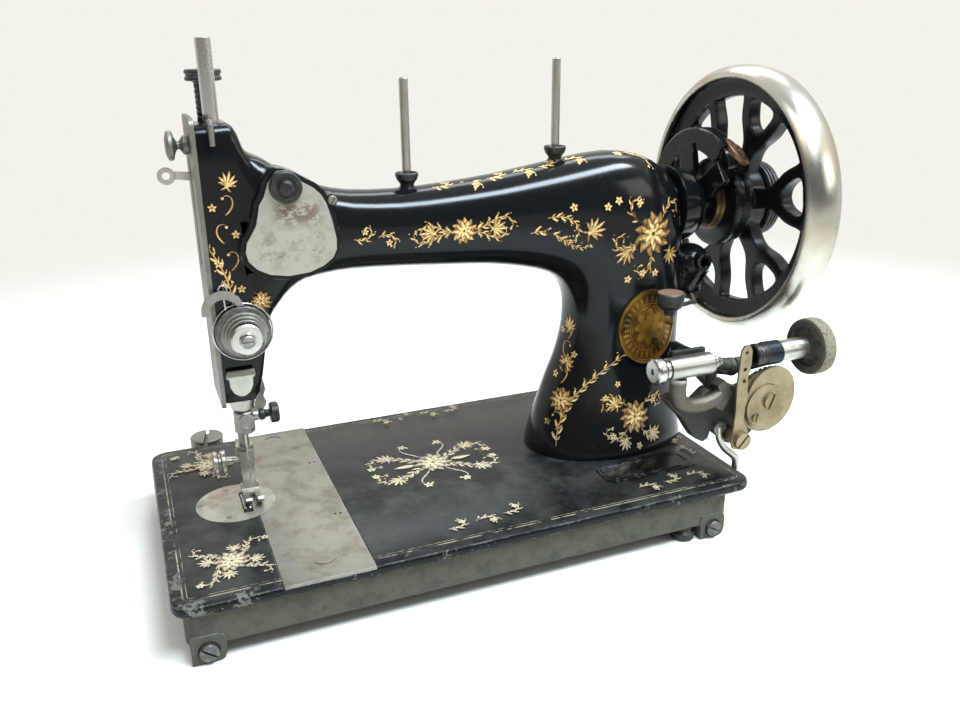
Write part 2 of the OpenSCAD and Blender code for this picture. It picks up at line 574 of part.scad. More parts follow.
module thread_tongue() color(nickel) at_frame() {
  xz_plate(-head_front - 1.4, -head_front) polygon([[-121.6, 117], [-106.8, 117], [-106.8, 115],
    [-108, 114.6], [-108.4, 109.6], [-110, 106.2], [-112.6, 104.4], [-114.2, 104], [-115.8, 104.4],
    [-118.4, 106.2], [-120, 109.6], [-120.4, 114.6], [-121.6, 115]]);
  yz_plate(-121.2, -107.2) polygon([[-15.2, 114.2], [-14.3, 114.2], [-14.4, 116.2], [-16.9, 119.4],
    [-18, 118.6], [-15.3, 115.2]]);
  rod_y(-head_front - 0.4, -10, -114.2, 111, 1.5);
}
module shaft_bushings() color(brassc) at_frame() for (x = [[-62, -36], [136, 171]]) difference() {
  rod_x(x[0], x[1], 0, shaft_z, arm_bore);
  rod_x(x[0] - 1, x[1] + 1, 0, shaft_z, shaft_r + run);
}
module main_shaft() color(steel) at_frame() rod_x(crank_x0, shaft_end, 0, shaft_z, shaft_r);
module crank_disc() color(steel) at_frame() {
  difference() {
    rod_x(crank_x0, crank_x1, 0, shaft_z, crank_r + 2.6);
    rod_x(crank_x0 - 1, crank_x1 + 1, 0, shaft_z, shaft_r);
    translate([crank_x0 + 3, -30, shaft_z - 30]) cube([20, 60, 19]);
  }
  rod_x(pin_tip, crank_x0 + 1, 0, shaft_z + throw, 2.5);
}
module shuttle_eccentric() color(steel) at_frame() difference() {
  rod_x(rock_x0 - 2, rock_x1 + 2, 0, shaft_z + ecc_off, ecc_r);
  rod_x(rock_x0 - 4, rock_x1 + 4, 0, shaft_z, shaft_r);
}

// half widths of a forked spoke and of the window inside its fork, as [half width, radius]
fork_out = [[6.8, 18], [6, 28], [6, 34], [7.6, 39], [11, 44], [14.4, 49], [16.8, 55], [18.4, 60], [21.5, 65]];
fork_win = [[0, 46.4], [4, 47.8], [7.2, 51], [9.4, 55.4], [11, 60], [9.8, 63.4], [5, 64.6]];
function smooth(w) = let (n = len(w), at = function(i) w[max(0, min(n - 1, i))])
  [for (i = [0:n - 2], j = [0:2]) cr(at(i - 1), at(i), at(i + 1), at(i + 2), j / 3), w[n - 1]];
function both_sides(w) = concat(w, [for (i = [len(w) - 1:-1:0]) if (w[i][0] > 0) [-w[i][0], w[i][1]]]);
module fork_spoke() yz_plate(-spoke_t / 2, spoke_t / 2) difference() {
  polygon(both_sides(smooth(fork_out)));
  polygon(both_sides(smooth(fork_win)));
}
module handwheel() color(black) at_frame() difference() {
  union() {
    along_x(wheel_x, 0, shaft_z) rotate_extrude($fn = 96) polygon([[rim_in, -rim_w / 2 + 0.6],
      [rim_in + 1, -rim_w / 2], [rim_in + 3, -rim_w / 2 + 0.1], [wheel_r - 2.8, -rim_w / 2 + 1.6],
      [wheel_r - 1.1, -rim_w / 2 + 4], [wheel_r - 0.2, -rim_w / 2 + 8], [wheel_r, 0],
      [wheel_r - 0.2, rim_w / 2 - 8], [wheel_r - 1.1, rim_w / 2 - 4], [wheel_r - 2.8, rim_w / 2 - 1.6],
      [rim_in + 3, rim_w / 2 - 0.1], [rim_in + 1, rim_w / 2], [rim_in, rim_w / 2 - 0.6],
      [rim_in - 0.4, 6], [web_in + 1.6, 4.4], [web_in, 2.6], [web_in, -2.6], [web_in + 1.6, -4.4],
      [rim_in - 0.4, -6]]);
    for (k = [0:spokes - 1]) translate([wheel_x, 0, shaft_z]) rotate([20 + 360 * k / spokes, 0,
      0]) fork_spoke();
    // hub with the belt groove
    along_x(180.5, 0, shaft_z) rotate_extrude($fn = 96) polygon([[0, 0], [15, 0], [16.2, 0.8], [16.2, 3.4],
      [15, 4.2],
      [19, 5.5], [26.4, 6.2], [27.6, 7.2], [27.6, 9], [23, 12], [23, 14.6], [26, 17.4], [26, 19], [24.6,
      20.4],
      [23, 22], [23, 31], [21, 33.4], [0, 33.4]]);
  }
  rod_x(178, 220, 0, shaft_z, shaft_r);
}
module clutch_knob() color(darkc) at_frame() along_x(wheel_x + 7.5, 0, shaft_z) rotate_extrude($fn = 96)
  polygon([[shaft_r + run, 0], [22.6, 0], [24, 0.8], [24, 2], [23, 2.6], [24, 3.2], [24, 4.4], [23, 5],
    [24, 5.6], [24, 6.8],
    [22.8, 7.4], [23.4, 8], [23.4, 9], [22, 9.8], [20.4, 11.4], [16, 12.6], [9, 13.6], [shaft_r + run,
      13.6]]);
bs_n = [0.5, -0.5, 0.71];
bs_o = [184, -21.5, 213.5];
module belt_guard() color(black) at_frame() difference() {
  union() {
    // curved guard over the belt, from the back over the top to the screw
    translate([0, 0, shaft_z]) rotate([114, 0, 0]) rotate([0, 90, 0]) translate([0, 0, 172.5])
      rotate_extrude(angle = 101, $fn = 96) polygon([[33, 0], [45.2, 0], [46.2, 1], [46.2, 9],
        [45.2, 10], [41.6, 10], [41, 3], [33, 3]]);
    // lugs that sit on the end of the arm
    for (t = [-14, 50]) translate([0, 0, shaft_z]) rotate([t, 0, 0]) translate([171, -7, 12.4]) cube([4,
      14, 24]);
    bar([176, -21, 211.5], bs_o, 8, 8.6);
    bar(bs_o - 4 * bs_n, bs_o + 1.4 * bs_n, 7, 7);
  }
  bar(bs_o - 3 * bs_n, bs_o + 3 * bs_n, 2.5, 2.5);
  bar(bs_o + 1.4 * bs_n, bs_o + 16 * bs_n, 10.5, 10.5);
}
module belt_guard_screw() color(steel) at_frame() translate(bs_o + 1.4 * bs_n) rotate([0,
  acos(bs_n[2] / norm(bs_n)),
  atan2(bs_n[1], bs_n[0])]) difference() {
    rotate_extrude() polygon([[0, -3.6], [2.5, -3.6], [2.5, 0], [9.6, 0], [10, 0.5], [10, 2.6], [9.4, 3.2],
      [5, 3.2],
      [4.6, 2.8], [4.2, 4.2], [3.2, 4.8], [0, 4.8]]);
    translate([0, 0, 4.8]) rotate([0, 0, 70]) slot_cut(4.2, 1.1, 1.4);
  }
module regulator_lever() color(darkc) at_frame() {
  rod_z(124.6, 128.3, reg_x, reg_y, 6);
  rod_z(128, 134, reg_x, reg_y, 2.5 - run);
  bar([reg_x, reg_y - 2, 126.6], [157, -31, 128.2], 1.6, 1.6);
  translate([157, -31, 128.2]) sphere(r = 1.9);
  bar([157, -31, 128.2], [136, -38.2, 128.6], 1.5, 1.5);
  // flat-topped thumb knob
  translate([135, -38.2, 124.6]) rotate_extrude() polygon([[0, 0], [3.4, 0], [4, 3], [6.6, 4.4], [7.8, 6.2],
    [8, 8.4], [8.2, 10], [8.2, 13], [7.6, 13.8], [0, 14]]);
}
module needle_bar() color(steel) at_frame() {
  rod_z(nbar_bot, nbar_top, needle_x, 0, nbar_r);
  // carrier block with the stud of the link
  translate([needle_x - 4.6, -5.5, stud_z - 6]) cube([link_x0 - gap - needle_x + 4.6, 11, 12]);
  rod_x(link_x0 - gap - 1, link_x1 + 0.4, 0, stud_z, 2.4);
}
module needle_bar_bushing() color(steel) at_frame() difference() {
  union() {
    rod_z(head_bot - 6, head_bot + 8, needle_x, 0, 6.4);
    rod_z(head_bot - 3, head_bot - 0.01, needle_x, 0, 7.2);
  }
  rod_z(head_bot - 7, head_bot + 9, needle_x, 0, nbar_r + run);
}
module needle_bar_link() color(steel) at_frame() difference() {
  union() {
    rod_x(link_x0, link_x1, 0, stud_z, 4.8);
    rod_x(link_x0, link_x1, 0, stud_z + link_len, 4.8);
    translate([link_x0, -2.8, stud_z]) cube([link_x1 - link_x0, 5.6, link_len]);
  }
  rod_x(link_x0 - 1, link_x1 + 1, 0, stud_z, 2.4 + run);
  rod_x(link_x0 - 1, link_x1 + 1, 0, stud_z + link_len, 2.5 + run);
}
module needle_clamp() color(steel) at_frame() difference() {
  union() {
    translate([needle_x, 0, nbar_bot - 1]) rotate_extrude() polygon([[0, 0], [4.6, 0], [5.6, 1],
      [5.6, 12.4], [5, 13.2], [0, 13.2]]);
    front_y(needle_x + 0.6, 1, nbar_bot + 7) cylinder(r = 4.4, h = 7.6);
    rod_x(needle_x + 4.4, needle_x + 7.6, 0, nbar_bot + 8, 3.1);
  }
  rod_z(nbar_bot, nbar_bot + 16, needle_x, 0, nbar_r);
  rod_z(nbar_bot - 2, nbar_bot + 1, needle_x, 0, 0.9);
  rod_x(needle_x + 1, needle_x + 9, 0, nbar_bot + 8, 1.8);
  front_y(needle_x + 0.6, -6, nbar_bot + 7) cylinder(r = 3.3, h = 0.8);
}
module needle_clamp_screw() color(darkc) at_frame() along_x(needle_x + nbar_r + 0.2, 0, nbar_bot + 8)
  rotate_extrude() polygon([[0, 0], [1.75, 0], [1.75, 4], [3.2, 4.2], [3.4, 5], [3.4, 6.6], [2.6, 7.4],
    [2.2, 8.2], [2.2, 9.8], [5.2, 10.2], [5.9, 11], [5.9, 14], [5.2, 14.8], [0, 15]]);
module needle() color(nickel) at_frame() translate([needle_x, 0, 45]) rotate_extrude()
  polygon([[0, 0], [0.5, 4], [0.5, 22], [0.85, 23], [0.85, nbar_bot - 45], [0, nbar_bot - 45]]);
module take_up_lever() color(nickel) at_frame() {
  difference() {
    union() {
      rod_y(tup_y - tup_t / 2, tup_y + tup_t / 2, tup_x, tup_z, 5.4);
      xz_plate(tup_y - 1.3, tup_y + 1.3) polygon([[tup_x - 1, tup_z - 5], [-112, 207.6], [-122, 214.2],
        [eye_x + 3.4, eye_z - 1.8], [eye_x + 3, eye_z + 2.4], [-124, 218.4], [-112, 214.4], [tup_x + 1,
        tup_z + 5.2]]);
      rod_y(tup_y - 1.5, tup_y + 1.5, eye_x, eye_z, 4.3);
    }
    rod_y(tup_y - 4, tup_y + 4, eye_x, eye_z, 2);
  }
  rod_y(tup_y, 18.6, tup_x, tup_z, 2.4 - run);
}
module presser_bar() color(steel) at_frame() {
  rod_z(50, 246, needle_x, press_y, press_r);
  rod_z(collar_z, collar_z + 8, needle_x, press_y, 5.1);
}
module presser_spring() color(steel) at_frame() translate([needle_x, press_y, collar_z + 8])
  coil(4.2, 4.2, 221 - collar_z - 8, 15, 0.7, 12, 6);
module pressure_screw() color(darkc) at_frame() translate([needle_x, press_y, 221]) difference() {
  rotate_extrude() polygon([[press_r + run, 0], [5, 0], [5, 40.4], [5.6, 41], [8.6, 41.4], [9, 41.8], [9, 43],
    [8.4, 43.6], [8.4, 44.4], [9, 45], [9, 46.2], [8.4, 46.8], [4, 47], [press_r + run, 46.4]]);
  for (k = [0:5]) translate([0, 0, 24.5 + 2.6 * k]) rotate_extrude() translate([5.25, 0]) circle(r = 0.55,
    $fn = 16);
}
module presser_foot() color(nickel) at_frame() difference() {
  union() {
    rod_z(50, 62, needle_x, press_y, 5);
    translate([needle_x - 3.9, 9.4, 47.5]) cube([7.8, 8, 13]);
    xz_plate(9.4, 12.4) polygon([[needle_x - 3.9, 50], [needle_x + 3.9, 50], [needle_x + 3.4, 43],
      [needle_x + 4.9, 36], [needle_x - 4.9, 36], [needle_x - 3.4, 43]]);
    yz_plate(needle_x - 4.9, needle_x + 4.9) polygon([[14, 35.2], [-5, 35.2], [-9, 36.9], [-12, 40.2],
      [-10.8, 41.2], [-8, 38.7], [-4.6, 37.2], [9, 37.2], [9.6, 40], [12.4, 40], [14, 37.2]]);
  }
  rod_z(49, 64, needle_x, press_y, press_r);
  translate([needle_x - 1.5, -14, 34]) cube([3, 18, 9]);
  rod_x(needle_x - 8, needle_x - 2, 12.2, 55, 1.7);
}
module presser_foot_screw() color(nickel) at_frame() translate([needle_x - 3.2, 12.2, 55]) rotate([0, -90, 0])
  rotate_extrude() polygon([[0, 0], [1.65, 0], [1.65, 4.4], [2.4, 4.6], [2.4, 8], [6.2, 8.2], [6.7, 8.8],
    [6.7, 10.4], [6.1, 11], [5, 11.4], [5, 12.2], [6.1, 12.6], [6.7, 13.2], [6.7, 14.8], [6.1, 15.4], [0,
      15.6]]);
module presser_lifter() color(steel) at_frame() {
  rod_y(9.4, head_back + 3, lift_x, lift_z, 2.5);
  translate([lift_x, 0, lift_z]) rotate([0, -20, 0]) translate([-10.6, 9.4, -2]) cube([10.6, 3, 3.8]);
  translate([0, head_back + gap, 0]) {
    rod_y(0, 4, lift_x, lift_z, 6.5);
    xz_plate(0.4, 3.6) polygon([[lift_x - 4, lift_z - 4], [lift_x + 5, lift_z - 3], [lift_x + 9, lift_z - 30],
      [lift_x + 6, lift_z - 38], [lift_x + 1.6, lift_z - 38], [lift_x + 2.4, lift_z - 30]]);
    rod_y(-0.2 + gap, 6, lift_x + 4.2, lift_z - 38, 4.6);
  }
}
// the dog keeps clear of the slot's ends at both ends of its travel
dog_y0 = slot_y0 + feed_travel + 0.7;
dog_y1 = slot_y1 - feed_travel - 0.7;
dog_w = slot_x1 - slot_x0 - 1.4;
module feed_dog() color(steel) at_frame() {
  translate([-135, -9, 20 + run]) cube([19, 15, 6]);
  translate([slot_x0 + 0.7, -9, 22]) cube([dog_w, 15, 10]);
  difference() {
    translate([slot_x0 + 0.7, dog_y0, 30.5]) cube([dog_w, dog_y1 - dog_y0, 4.1]);
    for (y = [dog_y0 + 1:1.5:dog_y1 - 0.6]) translate([slot_x0, y, 34]) rotate([45, 0, 0]) cube([10, 0.8,
      0.8]);
    translate([slot_x0 + dog_w / 2 + 0.1, dog_y0 - 1, 33.6]) cube([1.2, dog_y1 - dog_y0 + 2, 2]);
  }
}
module shuttle() color(nickel) at_frame() difference() {
  union() {
    rod_y(-10, 12, shuttle_x, shuttle_z, shuttle_r);
    along_y(shuttle_x, 12, shuttle_z) cylinder(r1 = shuttle_r, r2 = shuttle_r - 1.4, h = 3.6);
    front_y(shuttle_x, -10, shuttle_z) cylinder(r1 = shuttle_r, r2 = 1, h = 9);
  }
  translate([shuttle_x - 1.6, -8, shuttle_z]) cube([3.2, 17, 8]);
}
module shuttle_arm() color(steel) at_frame() {
  rod_z(14.5, 20, arm_piv_x, 0, 8);
  rod_z(19, 30, arm_piv_x, 0, piv_r - run);
  translate([-80, -5, 14.5]) cube([172, 10, 4.6]);
  translate([shuttle_x - 5, -24, 14.5]) cube([16, 44, 4.6]);
  translate([shuttle_x - 3, -23, 18]) cube([6, 3.6, 9]);
  translate([shuttle_x - 3, 16.2, 18]) cube([6, 3.6, 9]);
  rod_z(18, shuttle_z - shuttle_r + 0.04, shuttle_x, 0, 2.6);
  translate([arm_piv_x, -4, 14.5]) cube([arm_tail, 8, 4.6]);
  rod_z(14.5, 26, arm_piv_x + arm_tail, 0, 2.5);
  rod_z(14.5, 19.1, arm_piv_x + arm_tail, 0, 5);
}
prong = 2.5 + gap + 0.15;
module rocker() color(steel) at_frame() {
  rod_x(86, 122, 0, rock_z, rock_pin - run);
  rod_x(rock_x0, rock_x1, 0, rock_z, 9);
  translate([rock_x0, -4.5, 34]) cube([rock_x1 - rock_x0, 9, 124]);
  for (s = [0, 1]) mirror([0, s, 0]) {
    translate([rock_x0, fork_in, 155]) cube([rock_x1 - rock_x0, 3, 41]);
    translate([rock_x0, prong, 20.6]) cube([rock_x1 - rock_x0, 3, 14.4]);
  }
  translate([rock_x0, -fork_in - 3, 152]) cube([rock_x1 - rock_x0, 2 * fork_in + 6, 7]);
}
module small_screws() color(steel) at_frame() {
  front_y(stop_x, seat_y, stop_z) cheese(2.4, 2, 1.6, 6, 60);
  for (y = [-15, 16.5]) rod_z(nplate_seat + 1, bed_top - 0.2, nplate_x + (y > 0 ? -4 : -6), y, 1.6);
}
module winder_bracket() color(darkc) at_frame() {
  translate([hinge_x0, hinge_y + 6.6, hinge_z - 8]) cube([hinge_x1 - hinge_x0, 3.4, 16]);
  for (x = [hinge_x0, hinge_x1 - 5]) {
    rod_x(x, x + 5, hinge_y, hinge_z, 5.7);
    translate([x, hinge_y, hinge_z - 5]) cube([5, 8, 10]);
  }
  rod_x(hinge_x0 - 1, hinge_x1 + 1, hinge_y, hinge_z, hinge_r - run);
}
frame_y0 = wind_y + 3.6;
frame_y1 = wind_y + 12;
// where the frame's bars meet behind the spindle
knee = [163, -64, 96];
module winder_frame() color(darkc) at_frame() difference() {
  union() {
    rod_x(hinge_x0 + 5 + gap, hinge_x1 - 5 - gap, hinge_y, hinge_z, 6);
    bar([158, hinge_y - 2, hinge_z + 1], knee, 5, 5.2);
    translate(knee) sphere(r = 5.6);
    bar(knee, [194, -70.6, 101.2], 4.9, 4.2);
    bar(knee, [144.5, -70, 102.4], 4.2, 3.3);
    translate([144.5, -70, 102.4]) sphere(r = 3.7);
    bar([144.5, -70, 102.4], [144.5, -70, 84], 3.3, 3.5);
    bar([158, hinge_y - 2, hinge_z - 1], [158, -68, 78], 4.4, 4.4);
    rod_x(184, 203.5, wind_y, wind_z, tube_r);
    xz_plate(frame_y0, frame_y1) polygon([[112, 86], [117, 80], [124, 73], [130, 64], [134, 58.4],
      [139, 55.6], [142.4, 57], [144, 61.6], [150, 57], [157, 51.4], [165, 50.4], [172, 54], [186, 68],
      [192, 79],
      [189, 88], [180, 91], [172, 88], [164, 85], [158, 88], [149, 89], [140, 88], [130, 80], [118, 88]]);
  }
  rod_x(hinge_x0, hinge_x1, hinge_y, hinge_z, hinge_r);
  rod_x(183, 205, wind_y, wind_z, spin_r + run);
  rod_y(frame_y0 - 1, frame_y1 + 1, cam_x, cam_z, piv_r);
  rod_y(frame_y0 - 1, frame_y1 + 1, gl_x, gl_z, piv_r);
}
goose = [[115.6, 101, 4.8], [115.2, 94, 4.8], [116.8, 87.6, 4.8], [122, 83.8, 4.7], [130, 82.6, 4.5],
  [138, 83.6, 4.3], [144.6, 86.6, 4]];
module winder_tail_bracket() color(nickel) at_frame() difference() {
  union() {
    rod_x(108.5, 136.4, wind_y, wind_z, tube_r);
    along_x(136.3, wind_y, wind_z) cylinder(r1 = tube_r, r2 = 5.4, h = 1.6);
    translate([0, wind_y - 1.2, 0]) sweep_xz(goose, 4, 20);
    xz_plate(frame_y0 - 7, frame_y0) polygon([[139, 81], [146, 77], [152, 87], [146, 96], [141.4, 93],
      [144, 87]]);
  }
  rod_x(107, 143, wind_y, wind_z, 4.5 + run);
}
module winder_tail() color(nickel) at_frame() along_x(98.6, wind_y, wind_z) difference() {
  rotate_extrude() polygon([[0, 0], [6, 0], [7.2, 0.8], [7.5, 2], [7.5, 5], [6.8, 6], [5, 6.4], [4.8, 7],
    [5.7, 7.4],
    [5.7, 9], [5, 9.4], [4.5, 9.4], [4.5, 40.6], [3.4, 42.2], [2.2, 45.6], [0, 45.6]]);
  translate([0, 0, -1]) cylinder(r = 1.7, h = 4);
}
module winder_rod() color(nickel) at_frame() {
  rod_y(frame_y0 - 4, frame_y0, 148, 64, 4);
  translate([0, frame_y0 - 2.4, 0]) sweep_xz([[148, 65, 2.2], [149.2, 57, 2.2], [153.4, 50, 2.2],
    [159, 45, 2.2], [162.4, 41, 2.2], [162.8, bed_top + 0.6, 2.1]], 3, 14);
}
module winder_spindle() color(steel) at_frame() difference() {
  union() {
    along_x(166.5, wind_y, wind_z) rotate_extrude() polygon([[0, 0], [6.2, 0], [6.8, 0.6], [6.8, 3], [6.2,
      3.6],
      [6.6, 4.4], [6.6, 7], [worm_r, 7.2], [worm_r, 17.2], [spin_r, 17.2], [spin_r, 37.5], [7, 37.5], [7, 40],
      [12.6, 40], [12.6, 45], [6, 46], [5, 48], [0, 48]]);
  }
  along_x(165, wind_y, wind_z) cylinder(r = 4.8, h = 8);
  for (k = [0:5]) along_x(205, wind_y, wind_z) rotate([0, 0, 60 * k]) translate([9.6, 0,
    -1]) cylinder(r = 1.5, h = 10);
}
module winder_tyre() color([0.08, 0.07, 0.06]) at_frame() along_x(204.4, wind_y, wind_z) rotate_extrude()
  polygon([[12.6, 0.4], [15.4, 0], [16.6, 0.8], [tyre_r, 2.4], [tyre_r, 7.2], [16.6, 8.8], [15.4, 9.6],
    [12.6, 9.2]]);
// egg-shaped outline of the heart cam
function egg(a) = 18.5 + 1.4 * cos(a - 60) + 1.5 * cos(2 * (a - 75));
module winder_cam() color(nickel) at_frame() {
  xz_plate(cam_y - 3.4, cam_y - 1.6) polygon([for (a = [0:5:355]) [cam_x + egg(a) * cos(a),
    cam_z + egg(a) * sin(a)]]);
  difference() {
    rod_y(cam_y - 1.7, cam_y + 1.4, cam_x, cam_z, gear_r);
    for (k = [0:35]) translate([cam_x, 0, cam_z]) rotate([0, 10 * k, 0])
      translate([gear_r - 0.9, cam_y - 0.5, -0.7]) cube([2, 3, 1.4]);
  }
  rod_y(cam_y - 4.2, cam_y - 3.3, cam_x - 2.6, cam_z - 2.6, 13.4);
  difference() {
    front_y(cam_x, cam_y - 4, cam_z) cylinder(r1 = 4.9, r2 = 4.6, h = 1.9);
    front_y(cam_x, cam_y - 5.9, cam_z) rotate([0, 0, 68]) slot_cut(5, 1.2, 1.2);
  }
  difference() {
    front_y(cam_x - 9.2, cam_y - 4, cam_z - 9) cylinder(r = 2.6, h = 1.2);
    front_y(cam_x - 9.2, cam_y - 5.2, cam_z - 9) rotate([0, 0, 80]) slot_cut(3, 0.8, 0.8);
  }
  rod_y(cam_y + 1.2, frame_y0 - gap, cam_x, cam_z, 6);
  rod_y(cam_y, frame_y1 - 1, cam_x, cam_z, piv_r - run);
}
module winder_guide() color(nickel) at_frame() difference() {
  union() {
    xz_plate(cam_y - 5.8, cam_y - 4.6) difference() {
      union() {
        polygon([[149.6, 59], [151.4, 54], [156.4, 52.4], [161.4, 54.6], [163, 59], [160.8, 65], [157.4,
        71], [157.6, 80],
          [159, 86], [158, 90], [157.6, 98], [159, 106], [158.8, 114], [156.8, 117.4], [153.4, 117.4],
          [151.4, 114.6],
          [151, 106], [150.4, 92], [151, 78], [150.8, 68]]);
      }
      for (z = [96, 103, 113]) translate([155, z]) circle(r = 1.1);
    }
    rod_y(cam_y - 8.8, cam_y - 5.7, gl_x, gl_z, 5.2);
    rod_y(cam_y - 4.7, frame_y0 - gap, gl_x, gl_z, 4.4);
    rod_y(cam_y - 5, frame_y1 - 1, gl_x, gl_z, piv_r - run);
  }
  front_y(gl_x, cam_y - 8.8, gl_z) rotate([0, 0, 48]) slot_cut(5.2, 1.2, 1.4);
}

bed();
bed_screws();
foot_pads();
rear_clamp_disc();
needle_plate();
serial_plate();
front_slide_plate();
rear_slide_plate();
arm();
badge();
small_screws();
face_plate();
face_plate_screw();
arm_cover();
arm_cover_knob();
spool_pins();
spool_cups();
top_thread_guide();
tension_stud();
tension_discs();
tension_spring();
tension_nut();
check_spring();
thread_hook();
thread_tongue();
shaft_bushings();
main_shaft();
crank_disc();
shuttle_eccentric();
handwheel();
clutch_knob();
belt_guard();
belt_guard_screw();
regulator_lever();
needle_bar();
needle_bar_bushing();
needle_bar_link();
needle_clamp();
needle_clamp_screw();
needle();
take_up_lever();
presser_bar();
presser_spring();
pressure_screw();
presser_foot();
presser_foot_screw();
presser_lifter();
feed_dog();
shuttle();
shuttle_arm();
rocker();
winder_bracket();
winder_frame();
winder_spindle();
winder_tyre();
winder_tail_bracket();
winder_tail();
winder_rod();
winder_cam();
winder_guide();
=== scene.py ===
import bpy
import math
from mathutils import Matrix, Vector
from mathutils.bvhtree import BVHTree


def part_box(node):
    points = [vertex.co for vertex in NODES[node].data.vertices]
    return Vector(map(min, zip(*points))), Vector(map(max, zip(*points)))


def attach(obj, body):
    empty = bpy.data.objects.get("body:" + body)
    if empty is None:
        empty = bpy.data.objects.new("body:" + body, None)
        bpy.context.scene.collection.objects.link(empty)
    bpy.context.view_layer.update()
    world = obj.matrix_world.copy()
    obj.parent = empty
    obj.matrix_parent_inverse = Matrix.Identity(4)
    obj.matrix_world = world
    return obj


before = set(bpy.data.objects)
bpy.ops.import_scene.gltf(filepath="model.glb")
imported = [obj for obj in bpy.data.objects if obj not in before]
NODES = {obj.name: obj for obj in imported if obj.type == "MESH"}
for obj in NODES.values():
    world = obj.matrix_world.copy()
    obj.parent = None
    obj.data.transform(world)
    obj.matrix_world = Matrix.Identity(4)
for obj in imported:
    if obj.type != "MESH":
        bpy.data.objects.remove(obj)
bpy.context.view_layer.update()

# ---------------------------------------------------------------- places
# Machine coordinates in millimetres: x = 0 halfway along the bed, y = 0 in the shaft's plane.
HALF_BED = 165
MX = -HALF_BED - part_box("bed")[0].x * 1000
MY = -(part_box("main_shaft")[0].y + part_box("main_shaft")[1].y) * 500


def place(x, y, z):
    """a point of the machine, in the frame's metres"""
    return Vector(((x - MX) / 1000, (y - MY) / 1000, z / 1000))


def extent(node):
    """the lowest and the highest corner of a node, in machine millimetres"""
    return [Vector((p.x * 1000 + MX, p.y * 1000 + MY, p.z * 1000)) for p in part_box(node)]


def middle(node):
    """the middle of a node's box, in machine millimetres"""
    low, high = extent(node)
    return (low + high) / 2


BED_LEFT, BED_RIGHT = -HALF_BED, HALF_BED
BED_FRONT, BED_BACK = extent("bed")[0].y, extent("rear_slide_plate")[1].y
BED_TOP = extent("bed")[1].z
WALL_TOP = BED_TOP - 7.0  # the flange is this thick, and the skirt's wall stands below it
BED_CORNER = 10.0  # radius of the gold lines' corners at the bed's edge
COVER_PIVOT = middle("arm_cover_knob")
KNOB_CAP = extent("regulator_lever")[1].z - 10.7  # the knob's top stands above this height
TAIL_TUBE = extent("winder_tail")[0].z  # the tail bracket is plated above this height
SPINDLE_AXIS = middle("winder_spindle")
BEARING_X = extent("winder_spindle")[0].x + 17.5  # where the spindle's worm meets its bearing tube
WHEEL_FACE = extent("handwheel")[0].x
WHEEL_AXIS = middle("handwheel")
RIM_INSIDE = extent("handwheel")[1].z - WHEEL_AXIS.z - 7.5  # radius where the plated rim begins
BADGE = middle("badge")


